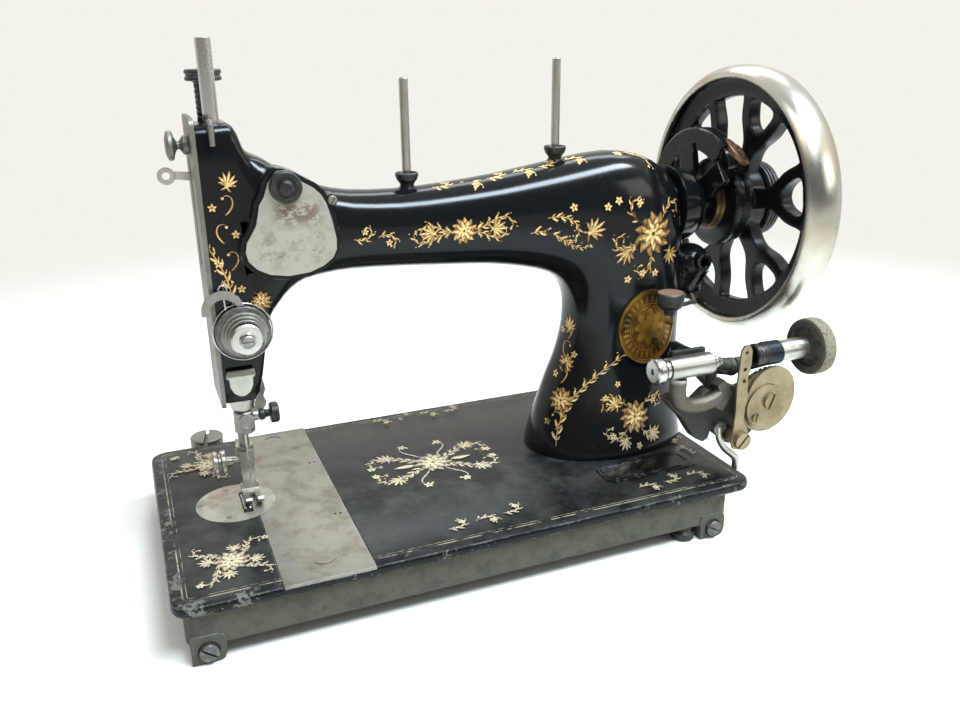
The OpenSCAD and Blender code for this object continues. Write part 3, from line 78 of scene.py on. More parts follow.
# ---------------------------------------------------------------- materials
class Graph:
    """A small builder for one material's nodes. Inputs may be sockets or values."""

    def __init__(self, name):
        self.mat = bpy.data.materials.new(name)
        self.mat.use_nodes = True
        self.tree = self.mat.node_tree
        self.tree.nodes.clear()
        self.out = self.new("OutputMaterial")
        metres = self.new("TexCoord").outputs["Object"]
        self.mm = self.vec("ADD", self.vec("SCALE", metres, scale=1000.0), (MX, MY, 0.0))
        self.x, self.y, self.z = self.split(self.mm)

    def new(self, kind):
        return self.tree.nodes.new("ShaderNode" + kind)

    def put(self, sock, v):
        if v is None:
            return
        if isinstance(v, bpy.types.NodeSocket):
            self.tree.links.new(v, sock)
        elif sock.type == "RGBA" and len(v) == 3:
            sock.default_value = (*v, 1.0)
        else:
            sock.default_value = v

    def split(self, v):
        n = self.new("SeparateXYZ")
        self.put(n.inputs[0], v)
        return n.outputs

    def math(self, op, a, b=None):
        n = self.new("Math")
        n.operation = op
        self.put(n.inputs[0], a)
        self.put(n.inputs[1], b)
        return n.outputs[0]

    def vec(self, op, a, b=None, scale=None):
        n = self.new("VectorMath")
        n.operation = op
        self.put(n.inputs[0], a)
        self.put(n.inputs[1], b)
        if scale is not None:
            n.inputs["Scale"].default_value = scale
        return n.outputs["Value"] if op == "DOT_PRODUCT" else n.outputs[0]

    def add(self, a, b):
        return self.math("ADD", a, b)

    def sub(self, a, b):
        return self.math("SUBTRACT", a, b)

    def mul(self, first, *rest):
        for v in rest:
            first = self.math("MULTIPLY", first, v)
        return first

    def either(self, first, *rest):
        for v in rest:
            first = self.math("MAXIMUM", first, v)
        return first

    def radius(self, a, b):
        """the length of the flat vector (a, b)"""
        return self.math("SQRT", self.add(self.mul(a, a), self.mul(b, b)))

    def noise(self, scale, detail=4.0, rough=0.55, stretch=None):
        """noise with about scale blots per millimetre; stretch multiplies each axis"""
        n = self.new("TexNoise")
        self.put(n.inputs["Vector"], self.vec("MULTIPLY", self.mm, stretch) if stretch else self.mm)
        for k, v in (("Scale", scale), ("Detail", detail), ("Roughness", rough)):
            n.inputs[k].default_value = v
        return n.outputs["Fac"]

    def step(self, v, lo, hi):
        """0 below lo and 1 above hi, or the reverse when lo > hi, smooth between"""
        n = self.new("MapRange")
        n.interpolation_type = "SMOOTHSTEP"
        low, high = (1.0, 0.0) if lo > hi else (0.0, 1.0)
        for k, w in enumerate((v, min(lo, hi), max(lo, hi), low, high)):
            self.put(n.inputs[k], w)
        return n.outputs[0]

    def band(self, v, lo, hi, soft):
        """1 between lo and hi"""
        return self.mul(self.step(v, lo - soft, lo + soft), self.step(v, hi + soft, hi - soft))

    def lerp(self, f, a, b):
        """a mix of two numbers"""
        n = self.new("Mix")
        for k, v in ((0, f), (2, a), (3, b)):
            self.put(n.inputs[k], v)
        return n.outputs[0]

    def mix(self, f, a, b):
        """a mix of two colours"""
        n = self.new("Mix")
        n.data_type = "RGBA"
        for k, v in ((0, f), (6, a), (7, b)):
            self.put(n.inputs[k], v)
        return n.outputs[2]

    def bump(self, height, dist, strength, normal=None):
        n = self.new("Bump")
        for k, v in (("Strength", strength), ("Distance", dist), ("Height", height), ("Normal", normal)):
            self.put(n.inputs[k], v)
        return n.outputs[0]

    def facing(self):
        """the surface's normal, as three numbers"""
        return self.split(self.new("NewGeometry").outputs["Normal"])

    def rounded(self, radius):
        """the surface's normal, rounded over edges within radius metres"""
        n = self.new("Bevel")
        n.samples = 4
        n.inputs["Radius"].default_value = radius
        return n.outputs[0]

    def edge(self, radius, lo=0.90, hi=0.985):
        """1 on edges and corners, found by rounding the normal over radius metres"""
        normal = self.new("NewGeometry").outputs["Normal"]
        return self.step(self.vec("DOT_PRODUCT", self.rounded(radius), normal), hi, lo)

    def finish(self, base, rough, metal=0.0, normal=None, spec=0.5, alpha=None):
        p = self.new("BsdfPrincipled")
        for k, v in (("Base Color", base), ("Roughness", rough), ("Metallic", metal), ("Normal", normal),
                     ("Specular IOR Level", spec), ("Alpha", alpha)):
            self.put(p.inputs[k], v)
        self.tree.links.new(p.outputs[0], self.out.inputs[0])
        return self.mat


def shade(colour, k):
    """a colour made k times as bright"""
    return tuple(k * c for c in colour)


ENAMEL = (0.0036, 0.0042, 0.0050)
ENAMEL_GLOSS = 0.22
WORN = (0.045, 0.036, 0.026)
BARE = (0.22, 0.215, 0.185)
# the skirt's colour: partly dust, partly a painted reflection of a warm floor
DUST_AND_FLOOR_REFLECTION = (0.074, 0.071, 0.052)
PALE_GOLD = (0.40, 0.33, 0.19)
KNOB_COPPER = (0.40, 0.245, 0.165)


def bed_lines(g):
    """a worn double gold line round the bed's top"""
    out_x = g.sub(g.math("ABSOLUTE", g.x), BED_RIGHT - BED_CORNER)
    from_middle = g.math("ABSOLUTE", g.sub(g.y, (BED_FRONT + BED_BACK) / 2))
    out_y = g.sub(from_middle, (BED_BACK - BED_FRONT) / 2 - BED_CORNER)
    beyond = g.radius(g.either(out_x, 0.0), g.either(out_y, 0.0))
    d = g.add(beyond, g.math("MINIMUM", g.either(out_x, out_y), 0.0))
    two = g.either(g.band(d, 3.3, 3.95, 0.12), g.band(d, 1.5, 1.8, 0.1))
    kept = g.mul(g.step(g.noise(0.16, 4, 0.6), 0.40, 0.56), 0.85)
    return g.mul(two, g.step(g.z, BED_TOP - 0.4, BED_TOP - 0.1), kept)


def skirt_dust_and_reflection(g, mid):
    """the bed's wall: dust and grain, in a greenish-brown that is partly dust and partly a painted reflection
    of a warm floor
    """
    grain = g.noise(1.4, 5, 0.75)
    dusty = g.mix(grain, shade(DUST_AND_FLOOR_REFLECTION, 0.62), shade(DUST_AND_FLOOR_REFLECTION, 1.5))
    return g.mix(g.mul(g.step(mid, 0.42, 0.72), 0.5), dusty, (0.018, 0.019, 0.017))


def flange_chips(g):
    """1 where the flange's edge is chipped to bare iron, more so towards its left end"""
    left, right = g.step(g.x, BED_LEFT + 8.5, BED_LEFT + 4.5), g.step(g.x, BED_RIGHT - 7.0, BED_RIGHT - 3.0)
    front, back = g.step(g.y, BED_FRONT + 7.0, BED_FRONT + 3.0), g.step(g.y, BED_BACK - 5.0, BED_BACK - 1.5)
    flange = g.mul(g.either(left, right, front, back), g.step(g.z, WALL_TOP, WALL_TOP + 1.5))
    limit = g.lerp(g.step(g.x, 60.0, -150.0), 0.66, 0.585)
    chip = g.add(g.mul(g.noise(0.07, 2, 0.5), 0.45), g.mul(g.noise(0.42, 6, 0.72), 0.65))
    return g.mul(flange, g.step(g.sub(chip, limit), -0.006, 0.02))


def japan(name, chips, rough=0.10, dust=0.1, bed=False):
    """old black enamel with worn edges, pits and scratches; the bed has gold lines and a skirt coloured
    partly by dust and partly by a painted reflection of a warm floor
    """
    g = Graph(name)
    fine, mid, big = g.noise(0.9, 3), g.noise(0.11, 5, 0.65), g.noise(0.022, 3)
    worn = g.mul(g.edge(0.0011), g.step(mid, 0.62 - 0.12 * chips, 0.68 - 0.10 * chips))
    pits = g.mul(g.step(g.noise(0.55, 4, 0.6), 0.70, 0.73), g.step(big, 0.46, 0.6))
    scratch = g.step(g.noise(0.5, 3, 0.6, stretch=(0.18, 2.6, 1.6)), 0.73, 0.79)
    base = g.mix(big, ENAMEL, (0.0052, 0.0056, 0.006))
    base = g.mix(g.mul(scratch, 0.16), base, (0.07, 0.07, 0.065))
    film = g.mul(g.step(g.facing()[2], 0.6, 0.98), g.step(g.noise(0.05, 5, 0.7), 0.35, 0.8), dust)
    base = g.mix(film, base, (0.05, 0.05, 0.045))
    matt = g.mul(film, 0.5)
    if bed:
        base = g.mix(bed_lines(g), base, g.mix(g.noise(0.5, 3), PALE_GOLD, (0.30, 0.28, 0.22)))
        wall = g.step(g.z, WALL_TOP + 0.6, WALL_TOP - 0.6)
        # the skirt below the flange: dust plus a greenish-brown painted reflection of a warm floor
        base = g.mix(g.mul(wall, g.step(mid, 0.15, 0.4)), base, skirt_dust_and_reflection(g, mid))
        matt = g.either(matt, wall)
        worn = g.either(worn, flange_chips(g))
    rub = g.either(worn, g.mul(pits, 0.7 * chips))
    base = g.mix(rub, base, g.mix(g.noise(0.4, 4, 0.7), WORN, BARE))
    r = g.lerp(matt, g.lerp(mid, rough, rough + 0.10), 0.72)
    relief = g.bump(g.sub(g.mul(fine, 0.2), rub), 0.00004, 0.5, g.rounded(0.0012))
    return g.finish(base, g.lerp(rub, r, 0.5), g.mul(rub, 0.35), relief, ENAMEL_GLOSS)


def nickel(name, tint=(0.47, 0.455, 0.41), rough=0.27, tarnish=0.55, rust=0.12, dark=0.0, low=None):
    """plated steel with tarnish, pitting and a little rust, and painted shade darkening its edges by dark;
    below the height low the plating has gone
    """
    g = Graph(name)
    big, mid = g.noise(0.045, 4, 0.6), g.noise(0.28, 5, 0.65)
    stain = g.mul(g.step(big, 0.40, 0.70), tarnish)
    spots = g.step(g.noise(0.9, 4, 0.7), 0.68 - 0.06 * rust, 0.76)
    blot = g.mul(g.step(mid, 0.62 - 0.10 * rust, 0.74 - 0.10 * rust), min(1.0, rust * 1.4))
    base = g.mix(stain, tint, tuple(c * k for c, k in zip(tint, (0.60, 0.55, 0.45))))
    base = g.mix(g.mul(mid, 0.4), base, shade(tint, 0.66))
    base = g.mix(g.mul(spots, 0.45), base, (0.10, 0.075, 0.05))
    base = g.mix(blot, base, g.mix(g.noise(0.6, 3), (0.10, 0.065, 0.04), (0.19, 0.125, 0.075)))
    # painted shade: the edges are darkened by dark
    base = g.mix(g.mul(g.edge(0.0006, 0.88), dark), base, (0.05, 0.043, 0.035))
    r = g.lerp(stain, g.lerp(mid, rough - 0.05, rough + 0.12), rough + 0.2)
    r = g.lerp(g.either(blot, g.mul(spots, 0.5)), r, 0.7)
    if low:
        bare = g.step(g.add(g.z, g.mul(mid, 6.0)), low + 4.5, low + 2.0)
        base = g.mix(bare, base, g.mix(mid, (0.20, 0.18, 0.145), (0.085, 0.072, 0.052)))
        r = g.lerp(bare, r, 0.58)
    relief = g.bump(g.mul(g.either(spots, blot), -1.0), 0.00005, 0.6, g.rounded(0.0004))
    return g.finish(base, r, g.lerp(blot, 1.0, 0.25), relief)


def plate_steel(name, k=1.0):
    """worn plating of the slide plates: brown mottling and a few dark round stains; k brightens it"""
    g = Graph(name)
    big, mid, fine = g.noise(0.03, 4, 0.65), g.noise(0.13, 5, 0.7), g.noise(0.8, 4, 0.7)
    base = g.mix(mid, shade((0.21, 0.197, 0.162), k), shade((0.335, 0.318, 0.272), k))
    base = g.mix(g.mul(g.step(big, 0.42, 0.66), 0.5), base, shade((0.17, 0.138, 0.10), k))
    stain = g.step(g.noise(0.06, 1, 0.3), 0.70, 0.80)
    base = g.mix(g.mul(stain, 0.75), base, (0.12, 0.11, 0.10))
    base = g.mix(g.mul(g.step(g.noise(0.06, 6, 0.72), 0.46, 0.70), 0.5), base, (0.12, 0.095, 0.066))
    base = g.mix(g.mul(g.step(fine, 0.62, 0.70), 0.4), base, (0.13, 0.10, 0.07))
    base = g.mix(g.mul(g.edge(0.0005), 0.6), base, (0.62, 0.62, 0.58))
    relief = g.sub(g.mul(g.noise(1.0, 2, 0.5, stretch=(0.05, 1.5, 1.5)), 0.5), fine)
    return g.finish(base, g.lerp(stain, g.lerp(mid, 0.34, 0.52), 0.6), 0.85, g.bump(relief, 0.00004, 0.5))


def cover_steel(name):
    """the arm cover: dull plating with a band of rust under its pivot"""
    g = Graph(name)
    mid, fine = g.noise(0.16, 5, 0.7), g.noise(0.9, 5, 0.75)
    along, up = g.sub(g.x, COVER_PIVOT.x), g.sub(g.z, COVER_PIVOT.z)
    band = g.mul(g.band(up, -19.5, -7.5, 4.5), g.band(along, -6.0, 17.0, 5.0))
    low = g.mul(g.band(up, -39.0, -21.0, 6.0), g.band(along, -16.0, 20.0, 6.0))
    streak = g.noise(0.32, 5, 0.75, stretch=(0.55, 1.0, 0.8))
    rust = g.either(g.mul(band, g.step(streak, 0.41, 0.54)), g.mul(low, g.step(streak, 0.56, 0.66), 0.6),
                    g.mul(g.step(streak, 0.70, 0.76), 0.5))
    base = g.mix(mid, (0.46, 0.445, 0.375), (0.35, 0.335, 0.275))
    base = g.mix(g.mul(g.step(fine, 0.55, 0.75), 0.45), base, (0.25, 0.225, 0.17))
    base = g.mix(g.mul(low, g.step(mid, 0.46, 0.6), 0.6), base, (0.20, 0.18, 0.14))
    base = g.mix(g.mul(rust, 0.9), base, g.mix(fine, (0.055, 0.028, 0.018), (0.17, 0.095, 0.055)))
    base = g.mix(g.mul(g.edge(0.0005), 0.5), base, (0.55, 0.53, 0.45))
    relief = g.bump(g.mul(g.either(rust, g.mul(fine, 0.4)), -1.0), 0.00006, 0.6)
    return g.finish(base, g.lerp(rust, g.lerp(mid, 0.36, 0.5), 0.75), g.lerp(rust, 0.8, 0.2), relief)


def dark_steel(name, tint=(0.022, 0.022, 0.021), rough=0.4, metal=0.6, rust=0.3, cap=None):
    """oil-blackened steel, brighter on its edges; cap = (height, colour) tints what faces up above it"""
    g = Graph(name)
    mid, big = g.noise(0.35, 5, 0.65), g.noise(0.07, 3)
    base = g.mix(g.step(mid, 0.4, 0.75), tint, shade(tint, 2.2))
    base = g.mix(g.mul(g.step(mid, 0.58, 0.72), rust), base, (0.08, 0.05, 0.03))
    if cap:
        height, colour = cap
        flat = g.mul(g.step(g.facing()[2], 0.85, 0.97), g.step(g.z, height - 0.4, height))
        base = g.mix(flat, base, g.mix(mid, colour, shade(colour, 0.55)))
    base = g.mix(g.mul(g.edge(0.0007, 0.88), g.step(big, 0.35, 0.6), 0.7), base, (0.24, 0.235, 0.21))
    relief = g.bump(mid, 0.00008, 0.6, g.rounded(0.0005))
    return g.finish(base, g.lerp(mid, rough - 0.1, rough + 0.15), metal, relief)


def cast_iron(name):
    """the winder's casting: grey-black with brown-green dust on what faces up, and a plated bearing tube"""
    g = Graph(name)
    mid, fine = g.noise(0.2, 5, 0.7), g.noise(1.2, 4, 0.7)
    base = g.mix(mid, (0.012, 0.012, 0.011), (0.055, 0.053, 0.043))
    dust = g.mul(g.step(g.facing()[2], -0.1, 0.8), g.step(mid, 0.35, 0.65), 0.7)
    base = g.mix(dust, base, (0.13, 0.122, 0.09))
    base = g.mix(g.mul(g.edge(0.0009), g.step(fine, 0.4, 0.6), 0.7), base, (0.23, 0.22, 0.18))
    q = g.radius(g.sub(g.y, SPINDLE_AXIS.y), g.sub(g.z, SPINDLE_AXIS.z))
    tube = g.mul(g.step(g.x, BEARING_X - 0.4, BEARING_X - 0.1), g.step(q, 6.7, 6.5))
    base = g.mix(tube, base, g.mix(g.step(mid, 0.45, 0.7), (0.50, 0.50, 0.45), (0.30, 0.29, 0.24)))
    relief = g.bump(fine, 0.00015, 0.6, g.rounded(0.0012))
    return g.finish(base, g.lerp(tube, 0.62, g.lerp(mid, 0.24, 0.4)), g.lerp(tube, 0.3, 1.0), relief)


def spindle_steel(name):
    """the winder's spindle: black nose, blued worm, grey drilled wheel"""
    g = Graph(name)
    mid = g.noise(0.4, 5, 0.7)
    nose = g.step(g.x, BEARING_X + 0.4, BEARING_X)
    worm = g.band(g.x, BEARING_X - 10.6, BEARING_X - 0.1, 0.15)
    thread = g.step(g.math("SINE", g.mul(g.x, 3.9)), -0.2, 0.3)
    base = g.mix(mid, (0.20, 0.195, 0.17), (0.10, 0.095, 0.08))
    base = g.mix(nose, base, g.mix(mid, (0.018, 0.019, 0.021), (0.06, 0.058, 0.05)))
    base = g.mix(worm, base, g.mix(g.mul(thread, 0.6), (0.026, 0.033, 0.043), (0.011, 0.012, 0.015)))
    base = g.mix(g.mul(g.edge(0.0005), 0.7), base, (0.32, 0.31, 0.27))
    return g.finish(base, g.lerp(mid, 0.28, 0.5), 0.85, g.bump(g.mul(thread, worm), 0.00025, 0.8))


def rubber(name):
    """perished tyre: pale dusty tread, dark cheeks"""
    g = Graph(name)
    mid, crack = g.noise(0.5, 5, 0.7), g.noise(1.6, 4, 0.7)
    tread = g.step(g.math("ABSOLUTE", g.facing()[0]), 0.85, 0.4)
    base = g.mix(mid, (0.028, 0.024, 0.018), (0.075, 0.064, 0.045))
    pale = g.mix(crack, (0.30, 0.26, 0.17), (0.12, 0.10, 0.065))
    base = g.mix(g.mul(tread, g.step(mid, 0.3, 0.55)), base, pale)
    return g.finish(base, 0.85, 0.0, g.bump(g.mul(crack, mid), 0.0009, 0.8))


def brass_badge(name):
    """pressed brass with a rayed border and an eight-petalled flower, its ground gone brown"""
    g = Graph(name)
    mid, wide = g.noise(0.25, 5, 0.65), g.noise(0.07, 4, 0.6)
    dx, dz = g.sub(g.x, BADGE.x), g.sub(g.z, BADGE.z)
    q = g.math("SQRT", g.add(g.mul(dx, dx), g.mul(dz, dz, 0.82)))
    a = g.math("ARCTAN2", dz, dx)
    rays = g.mul(g.band(q, 14.4, 18.0, 0.15), g.step(g.math("SINE", g.mul(a, 30.0)), 0.1, 0.4))
    leaf = g.add(6.4, g.mul(g.math("ABSOLUTE", g.math("COSINE", g.mul(a, 4.0))), 4.2))
    petals = g.step(g.sub(leaf, q), -0.15, 0.15)
    vein = g.mul(petals, g.step(g.math("SINE", g.mul(a, 32.0)), 0.5, 0.8), g.step(q, 3.0, 3.4), 0.6)
    rings = g.either(g.band(q, 18.9, 19.3, 0.15), g.band(q, 13.2, 13.5, 0.15), g.band(q, 11.6, 11.8, 0.12),
                     g.band(q, 2.0, 2.5, 0.12))
    high = g.either(rings, g.mul(rays, 0.75), g.sub(petals, vein), g.step(q, 19.9, 20.2))
    wear = g.step(wide, 0.36, 0.60)
    ground = g.mix(g.step(wide, 0.35, 0.65), (0.030, 0.016, 0.005), (0.19, 0.095, 0.014))
    brass = g.mix(mid, (0.50, 0.27, 0.045), (0.28, 0.14, 0.022))
    base = g.mix(g.mul(high, g.lerp(wear, 0.45, 1.0)), ground, brass)
    base = g.mix(g.mul(g.step(mid, 0.60, 0.72), 0.7), base, (0.025, 0.016, 0.008))
    return g.finish(base, g.lerp(mid, 0.24, 0.45), 0.85, g.bump(high, 0.00022, 0.8))


def wheel_material(name):
    """black enamel inside, a plated band on the rim, old bronze where it runs on the shaft"""
    g = Graph(name)
    r = g.radius(g.y, g.sub(g.z, WHEEL_AXIS.z))
    mid, fine = g.noise(0.2, 5, 0.65), g.noise(0.9, 4, 0.7)
    plated = g.step(g.add(r, g.mul(g.sub(mid, 0.5), 0.4)), RIM_INSIDE - 0.1, RIM_INSIDE + 0.15)
    hub = g.mul(g.band(r, 15.2, 17.0, 0.2), g.step(g.x, WHEEL_FACE + 5.5, WHEEL_FACE + 4.5))
    metal = g.either(plated, hub)
    worn = g.mul(g.edge(0.0010), g.step(mid, 0.50, 0.60))
    base = g.mix(mid, ENAMEL, (0.006, 0.006, 0.006))
    base = g.mix(worn, base, g.mix(mid, WORN, BARE))
    stain = g.step(g.noise(0.03, 3, 0.55), 0.42, 0.70)
    rim = g.mix(g.mul(stain, 0.6), (0.54, 0.525, 0.475), (0.44, 0.365, 0.235))
    rim = g.mix(g.mul(g.step(fine, 0.62, 0.72), 0.35), rim, (0.20, 0.14, 0.08))
    rim = g.mix(g.mul(g.step(g.sub(r, RIM_INSIDE), 1.2, 0.0), 0.55), rim, (0.16, 0.115, 0.06))
    base = g.mix(plated, base, rim)
    base = g.mix(hub, base, (0.16, 0.105, 0.055))
    rough = g.lerp(metal, g.lerp(mid, 0.15, 0.26), g.lerp(stain, 0.24, 0.34))
    relief = g.bump(mid, 0.00004, 0.4, g.rounded(0.0034))
    gloss = g.lerp(metal, ENAMEL_GLOSS, 0.5)
    return g.finish(base, rough, g.either(metal, g.mul(worn, 0.4)), relief, gloss)


MATS = {
    "japan_bed": japan("japan_bed", 1.3, rough=0.22, dust=0.6, bed=True),
    "japan": japan("japan", 0.8),
    "nickel": nickel("nickel"),
    "nickel_bright": nickel("nickel_bright", (0.56, 0.55, 0.51), 0.2, tarnish=0.35, rust=0.05),
    "nickel_dull": nickel("nickel_dull", (0.27, 0.262, 0.232), 0.45, tarnish=0.6, rust=0.25),
    # the winder's cam and guide take painted shade on their edges (dark=0.75)
    "nickel_warm": nickel("nickel_warm", (0.36, 0.295, 0.19), 0.38, tarnish=0.8, rust=0.35, dark=0.75),
    "tail_casting": nickel("tail_casting", rust=0.2, low=TAIL_TUBE),
    "plate": plate_steel("plate"),
    "plate_pale": plate_steel("plate_pale", 1.35),
    "cover": cover_steel("cover"),
    "steel": nickel("steel", (0.34, 0.33, 0.30), 0.36, tarnish=0.6, rust=0.25),
    "steel_dark": dark_steel("steel_dark"),
    "steel_grey": dark_steel("steel_grey", (0.10, 0.097, 0.088), 0.42, metal=0.85, rust=0.35),
    "knob": dark_steel("knob", (0.02, 0.02, 0.02), 0.36, metal=0.4, rust=0.2, cap=(KNOB_CAP, KNOB_COPPER)),
    "copper_brown": nickel("copper_brown", (0.20, 0.115, 0.07), 0.42, tarnish=0.7, rust=0.3),
    "casting": cast_iron("casting"),
    "spindle": spindle_steel("spindle"),
    "rubber": rubber("rubber"),
    "badge": brass_badge("badge"),
    "bronze": nickel("bronze", (0.17, 0.12, 0.07), 0.42, tarnish=0.6, rust=0.2),
    "wheel": wheel_material("wheel"),
}
USE = {
    "japan_bed": "bed",
    "japan": "arm serial_plate belt_guard",
    "nickel": "spool_pins thread_tongue winder_rod presser_foot presser_foot_screw needle_bar_bushing",
    "nickel_bright": "take_up_lever needle needle_bar winder_tail check_spring tension_nut",
    "nickel_dull": "top_thread_guide rear_clamp_disc small_screws face_plate_screw face_plate",
    "nickel_warm": "winder_cam winder_guide",
    "tail_casting": "winder_tail_bracket",
    "plate": "front_slide_plate rear_slide_plate",
    "plate_pale": "needle_plate",
    "cover": "arm_cover",
    "steel": "shuttle shuttle_arm shuttle_eccentric rocker feed_dog main_shaft crank_disc needle_bar_link "
             "needle_clamp presser_bar presser_spring presser_lifter tension_stud tension_spring thread_hook",
    "steel_dark": "arm_cover_knob spool_cups clutch_knob needle_clamp_screw pressure_screw foot_pads",
    "steel_grey": "tension_discs bed_screws",
    "knob": "regulator_lever",
    "copper_brown": "belt_guard_screw",
    "casting": "winder_bracket winder_frame",
    "spindle": "winder_spindle",
    "rubber": "winder_tyre",
    "badge": "badge",
    "bronze": "shaft_bushings",
    "wheel": "handwheel",
}


def dress(node, mat):
    o = NODES[node]
    if not o.data.materials:
        o.data.materials.append(mat)
    for s in o.material_slots:
        s.material = mat


for key, names in USE.items():
    for name in names.split():
        dress(name, MATS[key])

# ---------------------------------------------------------------- shading of the rounded castings
SAME_POINT = 0.000004
SOFT_ANGLE = math.radians(32)
SOFT_NODES = ("arm", "belt_guard", "handwheel", "winder_frame", "winder_bracket", "take_up_lever", "bed",
              "winder_cam", "presser_foot", "needle_bar_link", "winder_rod")


def soft_shading():
    """a modifier that joins doubled points and smooths the shading between faces that nearly line up"""
    t = bpy.data.node_groups.new("soft_shading", "GeometryNodeTree")
    for way in ("INPUT", "OUTPUT"):
        t.interface.new_socket("Geometry", in_out=way, socket_type="NodeSocketGeometry")
    kinds = ("NodeGroupInput", "GeometryNodeMergeByDistance", "GeometryNodeSetShadeSmooth",
             "GeometryNodeSetShadeSmooth", "NodeGroupOutput")
    line = [t.nodes.new(k) for k in kinds]
    for a, b in zip(line, line[1:]):
        t.links.new(a.outputs[0], b.inputs[0])
    _, weld, _, sharp, _ = line
    weld.inputs["Distance"].default_value = SAME_POINT
    bend, over = t.nodes.new("GeometryNodeInputMeshEdgeAngle"), t.nodes.new("FunctionNodeCompare")
    over.operation = "GREATER_THAN"
    over.inputs[1].default_value = SOFT_ANGLE
    t.links.new(bend.outputs[0], over.inputs[0])
    sharp.domain = "EDGE"
    sharp.inputs["Shade Smooth"].default_value = False
    t.links.new(over.outputs[0], sharp.inputs["Selection"])
    return t


SOFT = soft_shading()
for name in SOFT_NODES:
    mesh = NODES[name].data
    for extra in ("custom_normal", "sharp_edge", "sharp_face"):
        if extra in mesh.attributes:
            mesh.attributes.remove(mesh.attributes[extra])
    NODES[name].modifiers.new("soft_shading", "NODES").node_group = SOFT


# ---------------------------------------------------------------- gilding
def gold_leaf():
    """worn gold size with light and brown shading, from the tone kept on each point; paler on the bed"""
    g = Graph("gold_leaf")
    t = g.new("Attribute")
    t.attribute_name = "tone"
    tone = g.add(t.outputs["Fac"], g.mul(g.sub(g.noise(0.5, 4, 0.6), 0.5), 0.7))
    gold = g.mix(g.step(tone, 0.02, 0.48), (0.018, 0.008, 0.003), (0.26, 0.125, 0.028))
    gold = g.mix(g.step(tone, 0.48, 1.0), gold, (0.80, 0.57, 0.23))
    pale = g.mix(g.step(tone, 0.0, 0.9), (0.07, 0.062, 0.045), (0.56, 0.50, 0.35))
    gold = g.mix(g.mul(g.step(g.z, BED_TOP + 26.0, BED_TOP + 0.5), 0.8), gold, pale)
    gold = g.mix(g.mul(g.step(g.noise(0.35, 5, 0.7), 0.55, 0.7), 0.5), gold, (0.10, 0.06, 0.025))
    lost = g.either(g.step(g.noise(0.9, 4, 0.65), 0.585, 0.65), g.step(g.noise(0.06, 3, 0.6), 0.60, 0.68))
    return g.finish(gold, 0.42, 0.25, alpha=g.sub(1.0, lost))


def move(u, v, a, length):
    """the point reached from (u, v) by going length in direction a"""
    return u + math.cos(a) * length, v + math.sin(a) * length


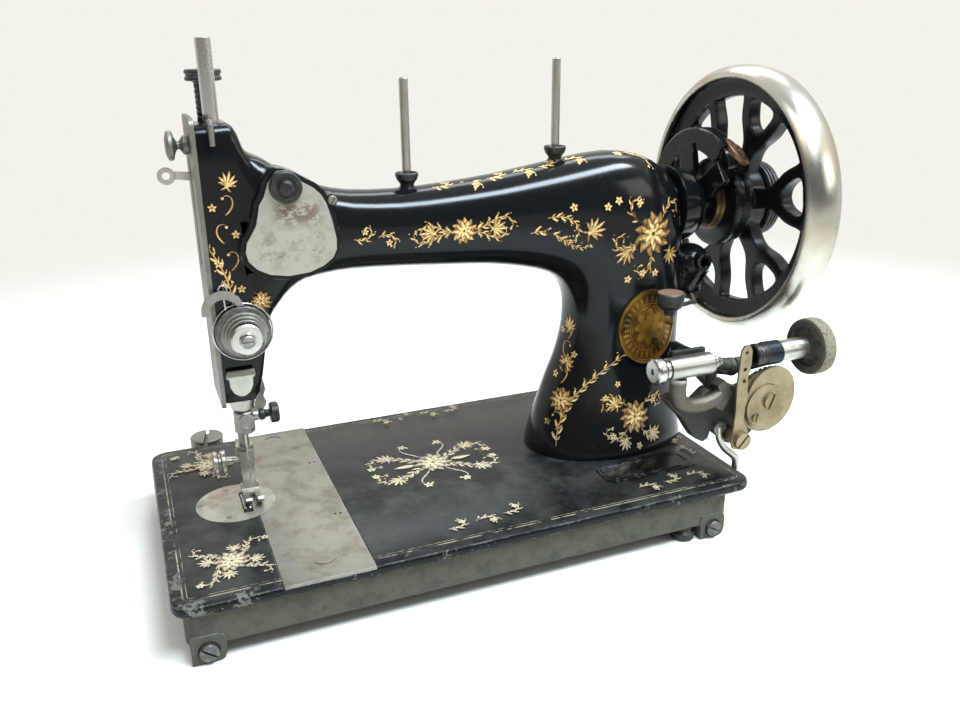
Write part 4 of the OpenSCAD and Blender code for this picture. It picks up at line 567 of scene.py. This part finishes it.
class Gilding:
    """Artwork as thin strips on a surface; put(u, v) gives a point and the surface's normal.

    A piece starts at (u, v) and grows in direction a. Lengths are millimetres and angles radians.
    A tone runs from 0, dark, to 1, bright.
    """

    LIFT = 0.00005  # metres between the surface and the first stroke
    LAYER = 0.0000012  # and between one stroke and the next

    def __init__(self, name, put):
        self.name, self.put, self.lift = name, put, self.LIFT
        self.points, self.tones, self.faces = [], [], []

    def strip(self, path, half, tone, cols=(-1, 0, 1), shades=(-0.22, 0.2, -0.22)):
        """a ribbon along path, half[i] wide to each side, with a point and a shade for each of cols"""
        self.lift += self.LAYER
        rows = []
        for i, (u, v) in enumerate(path):
            a, b = path[max(0, i - 1)], path[min(len(path) - 1, i + 1)]
            du, dv = b[0] - a[0], b[1] - a[1]
            d = math.hypot(du, dv) or 1.0
            row = []
            for k, s in zip(cols, shades):
                hit = self.put(u - dv / d * half[i] * k, v + du / d * half[i] * k)
                if hit is None:
                    row.append(None)
                    continue
                self.points.append(hit[0] + hit[1] * self.lift)
                self.tones.append(tone + s)
                row.append(len(self.points) - 1)
            rows.append(row)
        for a, b in zip(rows, rows[1:]):
            for k in range(len(cols) - 1):
                quad = (a[k], b[k], b[k + 1], a[k + 1])
                if None not in quad:
                    self.faces.append(quad)

    def petal(self, u, v, a, length, width, tone=0.5, bend=0.0, blunt=0.75, dark=0.55):
        """a pointed leaf, bent by bend, with a light rib and sides darker by dark; a larger blunt puts
        its widest place nearer its tip"""
        steps, path, half = 8, [(u, v)], [width * 0.05]
        for i in range(1, steps + 1):
            t = i / steps
            u, v = move(u, v, a + bend * t, length / steps)
            path.append((u, v))
            half.append(width / 2 * max(0.04, math.sin(math.pi * min(1.0, t ** blunt * 0.97))))
        self.strip(path, half, tone, (-1, -0.66, -0.1, 0.5, 1), (-dark, 0.12, 0.34, -0.12, -dark))

    def dot(self, u, v, r, tone=0.6):
        """a round bead"""
        steps, thinnest = 6, 0.03
        across = [2 * i / steps - 1 for i in range(steps + 1)]
        half = [max(thinnest, r * math.sqrt(1 - x ** 2)) for x in across]
        self.strip([(u + r * x, v) for x in across], half, tone)

    def curl(self, u, v, a, length, k0, k1, w, tone=0.55):
        """a scroll stroke w wide whose curvature runs from k0 to k1 turns per mm; returns its points"""
        n = max(8, int(length / 0.9))
        path, half, ang = [(u, v, a)], [w * 0.25], a
        for i in range(1, n):
            t = i / (n - 1)
            ang += 2 * math.pi * (k0 + (k1 - k0) * t ** 2) * length / (n - 1)
            u, v = move(u, v, ang, length / (n - 1))
            path.append((u, v, ang))
            half.append(w / 2 * (0.45 + 0.75 * math.sin(math.pi * t ** 0.8)) * (1 - 0.55 * t))
        self.strip([p[:2] for p in path], half, tone)
        self.dot(u, v, w * 0.75, tone + 0.15)
        return path

    def vine(self, u, v, a, length, k0, k1, w=1.1, leaf=4.5, gap=5.0, tone=0.55, side=1):
        """a scroll with leaves on both sides, smaller towards its tip, and a few beads between them;
        leaf is the first leaves' length, gap the way between leaves, side where the first one stands"""
        path = self.curl(u, v, a, length, k0, k1, w * 0.8, tone)
        every, s = max(1, int(gap * 0.62 / (length / len(path)))), side
        for i in range(every, len(path) - every // 2, every):
            x, y, b = path[i]
            size = leaf * (0.95 - 0.5 * i / len(path))
            self.petal(x, y, b + s * 0.85, size, size * 0.34, tone + 0.1, -s * 0.6)
            if i // every % 2:
                self.petal(x, y, b - s * 0.95, size * 0.62, size * 0.24, tone - 0.1, s * 0.5)
            else:
                self.dot(x + math.sin(b) * s * leaf * 0.5, y - math.cos(b) * s * leaf * 0.5, 0.42, tone + 0.1)
            s = -s

    def star(self, u, v, r, n=5, a=0.3, tone=0.7):
        """a small open flower"""
        for k in range(n):
            self.petal(u, v, a + k * 2 * math.pi / n, r * 0.92, r * 0.62, tone, 0, 1.1, 0.4)
        self.dot(u, v, r * 0.2, 0.1)

    def lily(self, u, v, a, r, tone=0.5):
        """a fan of long petals out of a calyx"""
        for k, f in ((-3, 0.66), (3, 0.66), (-2, 0.84), (2, 0.84), (-1, 0.97), (1, 0.97), (0, 1.08)):
            self.petal(u, v, a + k * 0.33, r * f, r * 0.25, tone - 0.07 * abs(k) + 0.15, 0.2 * k, 1.1)
        for s in (1, -1):
            self.petal(u, v, a + math.pi + 0.5 * s, r * 0.5, r * 0.18, tone - 0.1, 0.6 * s)
        self.dot(u, v, r * 0.13, tone + 0.3)

    def rosette(self, u, v, r, tone=0.5, a=0.0):
        """three rings of turned petals round a beaded middle, dark outside and light within"""
        # each ring's number of petals, their reach, width, tint and bend
        rings = ((11, 1.0, 0.50, -0.2, 0.45), (9, 0.76, 0.42, 0.0, -0.4), (7, 0.52, 0.34, 0.18, 0.4))
        for n, reach, width, tint, bend in rings:
            for k in range(n):
                turn = a + n + k * 2 * math.pi / n
                self.petal(u, v, turn, r * reach, r * width, tone + tint + 0.1 * (k % 2), bend, 1.25)
        for k in range(6):
            self.dot(*move(u, v, k * math.pi / 3, r * 0.17), r * 0.06, tone + 0.4)
        self.dot(u, v, r * 0.09, 0.0)

    def piece(self, mat, body="machine"):
        me = bpy.data.meshes.new(self.name)
        me.from_pydata([tuple(p) for p in self.points], [], self.faces)
        me.attributes.new("tone", "FLOAT", "POINT").data.foreach_set("value", self.tones)
        me.materials.append(mat)
        o = bpy.data.objects.new(self.name, me)
        bpy.context.scene.collection.objects.link(o)
        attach(o, body)


GRAZING = 0.12  # a face that the ray meets more flatly than this takes no leaf


def caster(node, start, along, across):
    """put(u, v) that goes from start + u and v times the two directions across, along onto a node"""
    me = NODES[node].data
    tree = BVHTree.FromPolygons([v.co for v in me.vertices], [p.vertices for p in me.polygons])
    d = Vector(along).normalized()

    def put(u, v):
        p = place(*(Vector(start) + u * Vector(across[0]) + v * Vector(across[1])))
        hit, normal, _, _ = tree.ray_cast(p, d)
        if hit is None or normal.dot(d) > -GRAZING:
            return None
        return hit, normal
    return put


def gild_bed(leaf):
    g = Gilding("gilding_bed", lambda u, v: (place(u, v, BED_TOP), Vector((0, 0, 1))))
    # the middle: a rosette between four scrolls
    cx, cy = -3, 4
    for sx in (1, -1):
        for sy in (1, -1):
            s, a = sx * sy, math.atan2(0.45 * sy, sx)
            g.vine(cx + 7 * sx, cy + 4 * sy, a, 46, 0.004 * s, -0.05 * s, 1.3, 6.5, 5.5, 0.5, sy)
            g.curl(cx + 5 * sx, cy + 8 * sy, math.pi / 2 * sy - 0.3 * s, 26, -0.012 * s, 0.07 * s, 1.3)
            g.lily(cx + 25 * sx, cy + 13 * sy, a + 0.5 * s, 9, 0.45)
            g.star(cx + 38 * sx, cy + 5 * sy, 3.0, 5, sx, 0.8)
            g.star(cx + 12 * sx, cy + 27 * sy, 3.2, 5, sy, 0.8)
    g.rosette(cx, cy, 12.5, 0.48)
    for s, a in ((1, 0), (-1, math.pi)):
        g.petal(cx + 12 * s, cy, a, 13, 5, 0.6)
    # the corners beside the needle plate
    for cx, cy, s in ((-133, -60, 1), (-133, 56, -1)):
        g.rosette(cx, cy, 9.5, 0.52, 0.4)
        for k in range(4):
            a = k * math.pi / 2 + 0.6
            g.vine(*move(cx, cy, a, 8), a + 0.5 * s, 21, 0.01 * s, -0.085 * s, 1.1, 4.6, 4.4, 0.55, s)
        for k in range(4):
            a = k * math.pi / 2 - 0.2
            g.lily(*move(cx, cy, a, 10), a, 6.5)
        g.star(cx + 19 * s, cy + 16, 2.4)
        g.star(cx - 17, cy - 17 * s, 2.4)
    # runs along the front, the right end and the back
    runs = ((-22, -75, 0.12, 3, 1), (96, -76, 0.05, 3, -1), (150, -52, 1.5, 2, 1), (-22, 76, 0.0, 4, -1))
    for u, v, a, n, up in runs:
        for i in range(n):
            s = up if i % 2 else -up
            g.vine(u, v, a + 0.55 * s, 19, -0.012 * s, -0.07 * s, 0.9, 4.2, 4.0, 0.6, s)
            x, y = move(u, v, a, 9)
            g.star(x, y - 3.4 * s, 2.3, 5, i, 0.8)
            u, v = move(u, v, a, 17)
    g.piece(leaf)


def gild_arm(leaf):
    """what faces the front: u is the machine's x and v its height"""
    g = Gilding("gilding_arm", caster("arm", (0, -150, 0), (0, 1, 0), ((1, 0, 0), (0, 0, 1))))
    # along the arm, from the cover to the shoulder
    line, cx = 183, 11
    for x, s in ((-50, -1), (-37, 1)):
        g.vine(x, line, 0.4 * s, 16, -0.01 * s, -0.08 * s, 0.9, 3.8, 3.6, 0.6, s)
        g.star(x + 6, line - 3.4 * s, 2.2)
    for s, a in ((1, 0), (-1, math.pi)):
        g.vine(cx + 5 * s, line, a, 30, 0.010, -0.055, 1.2, 5.2, 4.6, 0.6, 1)
        g.vine(cx + 5 * s, line - 1, a, 26, -0.012, 0.07, 1.1, 4.6, 4.6, 0.6, -1)
        g.lily(cx + 17 * s, line - 0.5, a, 8, 0.55)
    g.rosette(cx, line - 0.5, 7.5, 0.6)
    # the shoulder
    g.vine(50, 178, 0.35, 40, -0.010, 0.020, 1.2, 5.5, 5.2, 0.6, 1)
    g.vine(60, 186, 0.15, 36, -0.004, -0.050, 1.1, 5.0, 4.6, 0.6, -1)
    g.lily(86, 176, 0.6, 10)
    cx, cz = 128, 172
    g.rosette(cx, cz, 13.5, 0.45, 0.2)
    g.lily(112, 164, 3.9, 10, 0.42)
    g.lily(141, 160, -1.0, 9, 0.42)
    for a, n in ((0.9, 24), (2.4, 26), (3.5, 30), (4.6, 26)):
        g.vine(*move(cx, cz, a, 11), a + 0.4, n, -0.008, -0.075, 1.3, 5.4, 4.6, 0.5, 1)
    for x, z in ((76, 191), (97, 190), (104, 193), (118, 191), (112, 146), (131, 148), (122, 149)):
        g.star(x, z, 2.8, 5, x, 0.8)
    # low on the pillar
    cx, cz = 119, 58
    g.rosette(cx, cz, 10.5, 0.45, 0.5)
    for a, n, s in ((2.2, 30, 1), (4.0, 24, -1), (5.2, 20, 1), (0.8, 24, -1)):
        g.vine(*move(cx, cz, a, 9), a, n, 0.006 * s, 0.075 * s, 1.2, 5, 4.6, 0.5, s)
    for x, z, a, r in ((107, 66, 2.4, 8), (130, 47, -0.8, 8), (112, 45, -2.2, 7)):
        g.lily(x, z, a, r)
    for x, z in ((100, 72), (103, 48), (120, 40), (133, 66), (108, 80)):
        g.star(x, z, 2.4, 5, z, 0.8)
    # up the front of the head
    g.vine(-114.5, 152, 1.45, 62, 0.004, -0.006, 1.2, 6.5, 6.0, 0.6, 1)
    cx = -114
    for z, s in ((158, -1), (172, 1), (186, -1), (200, 1)):
        g.curl(cx + s, z, 1.5 - 0.9 * s, 15, 0.01 * s, 0.085 * s, 1.0, 0.6)
        g.star(cx - 5 * s, z + 4, 2.4)
    g.lily(cx + 3, 214, 1.3, 7, 0.6)
    g.rosette(cx + 14, 155, 5.5)
    g.piece(leaf)


def gild_top(leaf):
    """along the arm's top: u and v are the machine's x and y"""
    g = Gilding("gilding_top", caster("arm", (0, 0, 300), (0, 0, -1), ((1, 0, 0), (0, 1, 0))))
    for i in range(6):
        x, s = -2 + 16 * i, 1 if i % 2 else -1
        g.vine(x, -6, 0.5 * s, 18, -0.012 * s, -0.075 * s, 1.2, 4.6, 4.0, 0.7, s)
        g.star(x + 8, -6 - 3.6 * s, 2.4)
    g.star(112, -8, 3.4, 7)
    g.vine(116, -7, 0.0, 20, 0.0, -0.05, 1.1, 4.6, 4.0, 0.7, 1)
    g.piece(leaf)


def gild_pillar(leaf):
    """the pillar's flank that looks to the needle and the front: v is the height"""
    g = Gilding("gilding_pillar", caster("arm", (-24, -92, 0), (0.8, 0.6, 0), ((0.6, -0.8, 0), (0, 0, 1))))
    foot = 42
    g.vine(-1, foot, 1.75, 84, -0.004, 0.004, 1.2, 6.5, 6.0, 0.6, 1)
    for z, s in ((52, 1), (66, -1), (80, 1), (94, -1), (106, 1)):
        u = -3.0 - 0.02 * (z - foot)
        g.curl(u, z, 1.6 - 0.8 * s, 17, 0.01 * s, 0.08 * s, 1.0, 0.6)
        g.star(u - 6 * s, z + 4, 2.6)
    g.rosette(-2, 70, 8)
    g.rosette(-3, 92, 6)
    g.lily(-4, 112, 1.6, 8, 0.6)
    g.piece(leaf)


GOLD_LEAF = gold_leaf()
for gild in (gild_bed, gild_arm, gild_top, gild_pillar):
    gild(GOLD_LEAF)

# ---------------------------------------------------------------- stage and light
BACKDROP = (0.90, 0.89, 0.83)
DIM_SIDE = (0.16, 0.155, 0.14)
PAPER = (0.80, 0.785, 0.73)
SKYLIGHT = (0.93, 0.95, 1.0)
SKYLIGHT_LEVEL = 0.40
FADE = (0.32, 0.95)  # metres from the machine's middle over which the floor takes the backdrop's colour
AWAY = (0.376, 0.927, 0.0)  # the way the camera looks, along the floor


def maker(tree):
    """new(kind, ...) that empties a node tree and adds shader nodes of these kinds to it"""
    tree.nodes.clear()
    return lambda *kinds: [tree.nodes.new("ShaderNode" + k) for k in kinds]


def smooth_ramp(node, lo, hi):
    node.interpolation_type = "SMOOTHSTEP"
    node.inputs[1].default_value, node.inputs[2].default_value = lo, hi


def floor_paint():
    """pale matt paper; far from the machine it takes the wall's own colour, so no horizon shows"""
    m = bpy.data.materials.new("floor_paint")
    m.use_nodes = True
    new = maker(m.node_tree)
    out, mix, paper, glow = new("OutputMaterial", "MixShader", "BsdfDiffuse", "Emission")
    co, far, ramp, ray, seen, both = new("TexCoord", "VectorMath", "MapRange", "LightPath", "Math", "Math")
    paper.inputs["Color"].default_value = (*PAPER, 1)
    glow.inputs["Color"].default_value = (*BACKDROP, 1)
    far.operation = "LENGTH"
    smooth_ramp(ramp, *FADE)
    seen.operation, both.operation = "MAXIMUM", "MULTIPLY"
    for a, b in (
            (co.outputs["Object"], far.inputs[0]), (far.outputs["Value"], ramp.inputs[0]),
            (ray.outputs["Is Camera Ray"], seen.inputs[0]), (ray.outputs["Is Glossy Ray"], seen.inputs[1]),
            (ramp.outputs[0], both.inputs[0]), (seen.outputs[0], both.inputs[1]),
            (both.outputs[0], mix.inputs[0]), (paper.outputs[0], mix.inputs[1]),
            (glow.outputs[0], mix.inputs[2]), (mix.outputs[0], out.inputs[0])):
        m.node_tree.links.new(a, b)
    return m


FLOOR_SIZE, FLOOR_DROP = 14, 0.0002  # metres; the drop keeps the floor clear of the feet
bpy.ops.mesh.primitive_plane_add(size=FLOOR_SIZE, location=(0, 0, -FLOOR_DROP))
floor = bpy.context.object
floor.name = "floor"
floor.data.materials.append(floor_paint())


def area(name, at, to, size, watts, colour):
    """an area light at a place in metres, turned to another; size is its width and its length"""
    d = bpy.data.lights.new(name, "AREA")
    d.shape = "RECTANGLE"
    d.size, d.size_y = size
    d.energy = watts
    d.color = colour
    o = bpy.data.objects.new(name, d)
    bpy.context.scene.collection.objects.link(o)
    o.location = at
    o.rotation_euler = (Vector(to) - Vector(at)).to_track_quat("-Z", "Y").to_euler()


area("key", (-0.9, -0.5, 1.5), (0, 0, 0.1), (0.8, 0.8), 8, (1, 0.97, 0.92))
area("strip", (0.50, -0.60, 1.45), (0.05, 0.0, 0.20), (1.40, 0.28), 62, (0.74, 0.88, 1.0))
area("window", (0.35, 0.85, 1.30), (0.0, 0.0, 0.15), (1.5, 0.35), 10, (0.90, 0.96, 1.0))
area("fill", (1.2, -1.1, 0.8), (0, 0, 0.12), (0.6, 0.6), 4, (1, 0.97, 0.93))


def room():
    """pale wall all round; reflections see a dimmer side in front; a softer level lights the machine"""
    w = bpy.data.worlds.new("room")
    bpy.context.scene.world = w
    w.use_nodes = True
    new = maker(w.node_tree)
    out, mix, soft, wall = new("OutputWorld", "MixShader", "Background", "Background")
    co, dot, ramp, ray, tint = new("TexCoord", "VectorMath", "MapRange", "LightPath", "Mix")
    pale, gloss, clear = new("Math", "Math", "Math")
    soft.inputs[0].default_value = (*SKYLIGHT, 1)
    soft.inputs[1].default_value = SKYLIGHT_LEVEL
    tint.data_type = "RGBA"
    tint.inputs[6].default_value = (*DIM_SIDE, 1)
    tint.inputs[7].default_value = (*BACKDROP, 1)
    smooth_ramp(ramp, -0.45, 0.15)
    dot.operation = "DOT_PRODUCT"
    dot.inputs[1].default_value = AWAY
    pale.operation = gloss.operation = clear.operation = "MAXIMUM"
    camera_ray = ray.outputs["Is Camera Ray"]
    for a, b in (
            (co.outputs["Generated"], dot.inputs[0]), (dot.outputs["Value"], ramp.inputs[0]),
            (ramp.outputs[0], pale.inputs[0]), (camera_ray, pale.inputs[1]),
            (pale.outputs[0], tint.inputs[0]), (tint.outputs[2], wall.inputs[0]),
            (camera_ray, gloss.inputs[0]), (ray.outputs["Is Glossy Ray"], gloss.inputs[1]),
            (gloss.outputs[0], clear.inputs[0]), (ray.outputs["Is Transmission Ray"], clear.inputs[1]),
            (clear.outputs[0], mix.inputs[0]), (soft.outputs[0], mix.inputs[1]),
            (wall.outputs[0], mix.inputs[2]), (mix.outputs[0], out.inputs[0])):
        w.node_tree.links.new(a, b)


room()

# ---------------------------------------------------------------- camera, as solved from the photograph
LENS = 32.73
PITCH, ROLL, YAW = (math.radians(v) for v in (20.02, -0.56, 22.09))
EYE = (-158.80, -459.30, 279.19)


def camera():
    cam = bpy.data.cameras.new("view")
    cam.sensor_width = 36
    cam.lens = LENS
    cam.clip_start = 0.01
    o = bpy.data.objects.new("view", cam)
    bpy.context.scene.collection.objects.link(o)
    ahead = Vector((math.sin(YAW) * math.cos(PITCH), math.cos(YAW) * math.cos(PITCH), -math.sin(PITCH)))
    level = Vector((math.cos(YAW), -math.sin(YAW), 0))
    upright = level.cross(ahead)
    right = level * math.cos(ROLL) + upright * math.sin(ROLL)
    up = upright * math.cos(ROLL) - level * math.sin(ROLL)
    m = Matrix((right, up, -ahead)).transposed().to_4x4()
    m.translation = place(*EYE)
    o.matrix_world = m
    return o


bpy.context.scene.camera = camera()
bpy.context.scene.view_settings.view_transform = "Standard"
